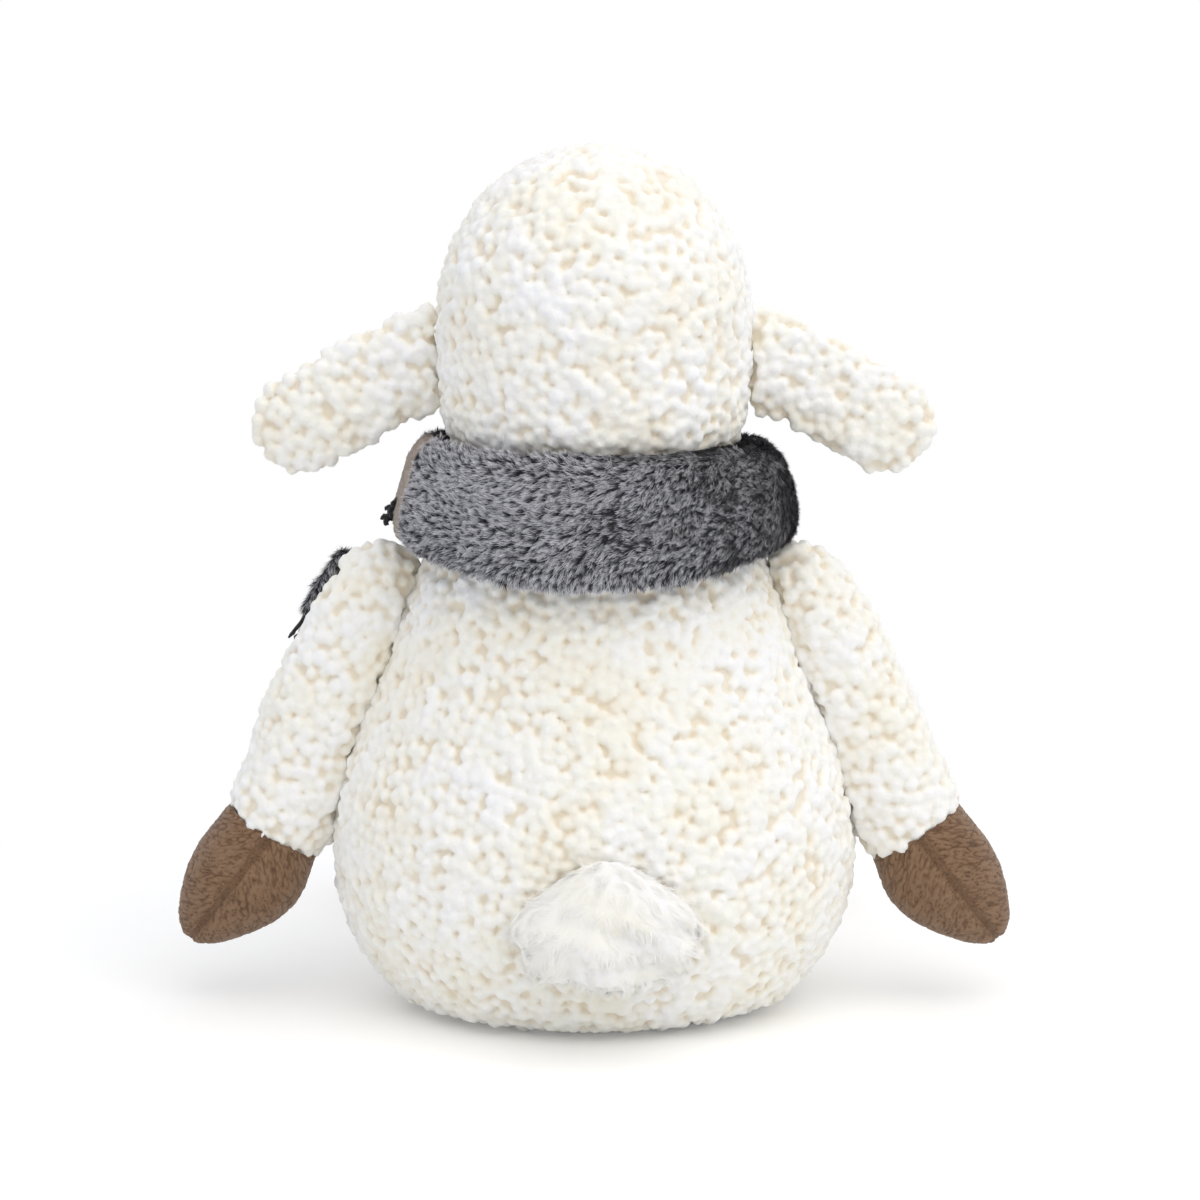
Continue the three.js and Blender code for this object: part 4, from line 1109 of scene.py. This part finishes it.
def scarf_end(name, node, body, seed, voxel, inset, length, strands):
    """A hanging end of the scarf, furred on both faces: its cloth and its fur."""
    form = scarf_cloth(name, (node,), voxel, inset)
    fur = pile(
        f"{name}_fur", form, strands, seed, tuft=2.0 * MM,
        length=length, width=0.26 * MM, lift=(0.25, 0.8), gather=0.6, jitter=0.2,
        flow=lambda points: np.tile((0.0, 0.0, -1.0), (len(points), 1)),
        shade=lambda points: np.ones(len(points)),
    )
    finish_piece(form, SCARF_BACKING, "fur", (body,))
    finish_piece(fur, FUR, "fur", (body,))
    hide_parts(node)
    return form, fur


YARN_STEPS = 9
YARN_SIDES = 6
YARN_RADIUS = 0.75 * MM
YARN_BENDS = 0.28 * MM  # from one step to the next
FRINGE_YARNS = 26
FRINGE_LENGTHS = (0.82, 1.0)  # shares of its solid's
FRINGE_DEEP = 0.8 * MM
FRINGE_STRAY = 0.3 * MM  # of its yarns' tops
FRINGE_SWING = 0.8 * MM  # of their bottoms, to the side


def yarns(name, tops, bottoms, radius, seed):
    """Loose yarns that hang from the tops towards the bottoms, each with its own bends."""
    rng = np.random.default_rng(seed)
    shapes = []
    for top, bottom in zip(tops, bottoms):
        t = np.linspace(0, 1, YARN_STEPS)[:, None]
        bends = np.cumsum(rng.normal(scale=YARN_BENDS, size=(YARN_STEPS, 3)), axis=0)
        path = top + (bottom - top) * t + bends
        radii = radius * np.where(t[:, 0] > 0.97, 0.4, 1.0) * (1 + 0.15 * np.sin(t[:, 0] * 26))
        shapes.append((*tube_shape(path, radii, YARN_SIDES), np.repeat(t[:, 0], YARN_SIDES)))
    count = len(shapes)
    turns = np.tile(np.eye(3), (count, 1, 1))
    return planted(name, shapes, np.zeros((count, 3)), turns, np.ones(count), rng.random(count))


def fringe(name, node, body, seed):
    """Yarns in the place of the fringe's comb, knotted at its bar."""
    points = node_points(node)
    middle = (points.min(axis=0) + points.max(axis=0)) / 2
    axes = np.linalg.svd(points - points.mean(axis=0), full_matrices=False)[2]
    wide, down = axes[0], axes[1] * (-1 if axes[1][2] > 0 else 1)
    along, drop = (points - middle) @ wide, (points - middle) @ down
    rng = np.random.default_rng(seed)
    places = np.linspace(along.min() + 1 * MM, along.max() - 1 * MM, FRINGE_YARNS)
    places = places + rng.normal(scale=FRINGE_STRAY, size=FRINGE_YARNS)
    lengths = rng.uniform(*FRINGE_LENGTHS, FRINGE_YARNS)
    deep = np.cross(wide, down) * FRINGE_DEEP
    offset = rng.uniform(-1, 1, (FRINGE_YARNS, 1)) * deep
    tops = middle + np.outer(places, wide) + drop.min() * down + offset
    swung = places + rng.normal(scale=FRINGE_SWING, size=FRINGE_YARNS)
    bottoms = middle + np.outer(swung, wide) + offset
    bottoms = bottoms + (drop.min() + lengths * (drop.max() - drop.min()))[:, None] * down
    made = yarns(name, tops, bottoms, YARN_RADIUS, seed)
    finish_piece(made, FRINGE, "fringe", (body,))
    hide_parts(node)
    return made


side_end, side_fur = scarf_end(
    "scarf_side_cloth", "scarf_side_end", "arm_left", 96,
    voxel=1.2 * MM, inset=0.8 * MM, length=3 * MM, strands=14000,
)
front_end, front_fur = scarf_end(
    "scarf_front_cloth", "scarf_front_end", "scarf_front", 97,
    voxel=2 * MM, inset=1.6 * MM, length=5 * MM, strands=18000,
)
side_fringe = fringe("scarf_side_yarns", "scarf_side_fringe", "arm_left", 98)
front_fringe = fringe("scarf_front_yarns", "scarf_front_fringe", "scarf_front", 99)
for laid_over in (side_end, side_fur, side_fringe):
    set_coordinates(laid_over, over_sleeve(coordinates(laid_over)))

# The bit of fringe that shows past the turn at the sheep's left
TUFT_PLACE = np.array((71, 4, 170)) * MM
TUFT_YARNS = 30
TUFT_RUN = np.array((-6, 8, 9)) * MM  # from its first yarn to its last
TUFT_STRAY = 0.6 * MM
TUFT_OUT = np.array((1.2, 0.6, -2.4)) * MM  # the way that its yarns hang
tuft_rng = np.random.default_rng(100)
tuft_run = np.linspace(0, 1, TUFT_YARNS)[:, None]
tuft_tops = TUFT_PLACE + tuft_run * TUFT_RUN + TUFT_STRAY * tuft_rng.normal(size=(TUFT_YARNS, 3))
tuft_bottoms = tuft_tops + TUFT_OUT * tuft_rng.uniform(0.7, 1.1, (TUFT_YARNS, 1))
tuft = yarns("scarf_fringe_tuft", tuft_tops, tuft_bottoms, YARN_RADIUS, 101)
finish_piece(tuft, FRINGE, "fringe", ("torso",))

# Face: short plush, two acrylic eyes, a sewn nose and a sewn mouth
NOSE_PLACE = np.array((0, face_low[1], 0.237))
FACE_RING = 24 * MM  # from the nose, where the streaks have their usual width


def face_lie(points):
    """Pile that lies outwards all round from the nose."""
    away = points - NOSE_PLACE
    return np.arctan2(away[:, 0], away[:, 2]) * FACE_RING, np.hypot(away[:, 0], away[:, 2])


face = plush_piece(
    "face_plush", "face_muzzle", ("head",), face_lie, 111, voxel=1.5 * MM, inset=1 * MM, finer=1
)

for side in SIDES:
    low, high = corner_box(f"eye_{side}")
    radius = (high[2] - low[2]) / 2
    middle = (low + high) / 2
    middle[1] = low[1] + radius
    deselect()
    bpy.ops.mesh.primitive_uv_sphere_add(segments=40, ring_count=24, radius=radius, location=middle)
    eye = bpy.context.object
    eye.name = f"eye_glass_{side}"
    bpy.ops.object.transform_apply()
    smooth_shade(eye)
    finish_piece(eye, EYE, "eye", ("head",))
    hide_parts(f"eye_{side}")

nose = from_nodes("nose_sewn", "nose")
remesh(nose, 0.6 * MM, 5)
smooth_shade(nose)
finish_piece(nose, THREAD, "nose", ("head",))
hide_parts("nose")

# The mouth's threads: x and z of their ends, in mm
MOUTH = ((0, 231), (0, 225)), ((0, 225), (-7, 221)), ((0, 225), (7, 221))
THREAD_RADIUS = 0.55 * MM
THREAD_PROUD = 0.5 * MM  # of the plush


def on_face(x_mm, z_mm):
    """A place a little proud of the face."""
    before = Vector((x_mm * MM, face_low[1] - 5 * MM, z_mm * MM))
    _, spot, normal, _ = face.closest_point_on_mesh(before)
    return np.array(spot) + THREAD_PROUD * np.array(normal)


mouth_tops = np.array([on_face(*top) for top, _ in MOUTH])
mouth_bottoms = np.array([on_face(*bottom) for _, bottom in MOUTH])
mouth = yarns("mouth_sewn", mouth_tops, mouth_bottoms, THREAD_RADIUS, 112)
finish_piece(mouth, THREAD, "nose", ("head",))
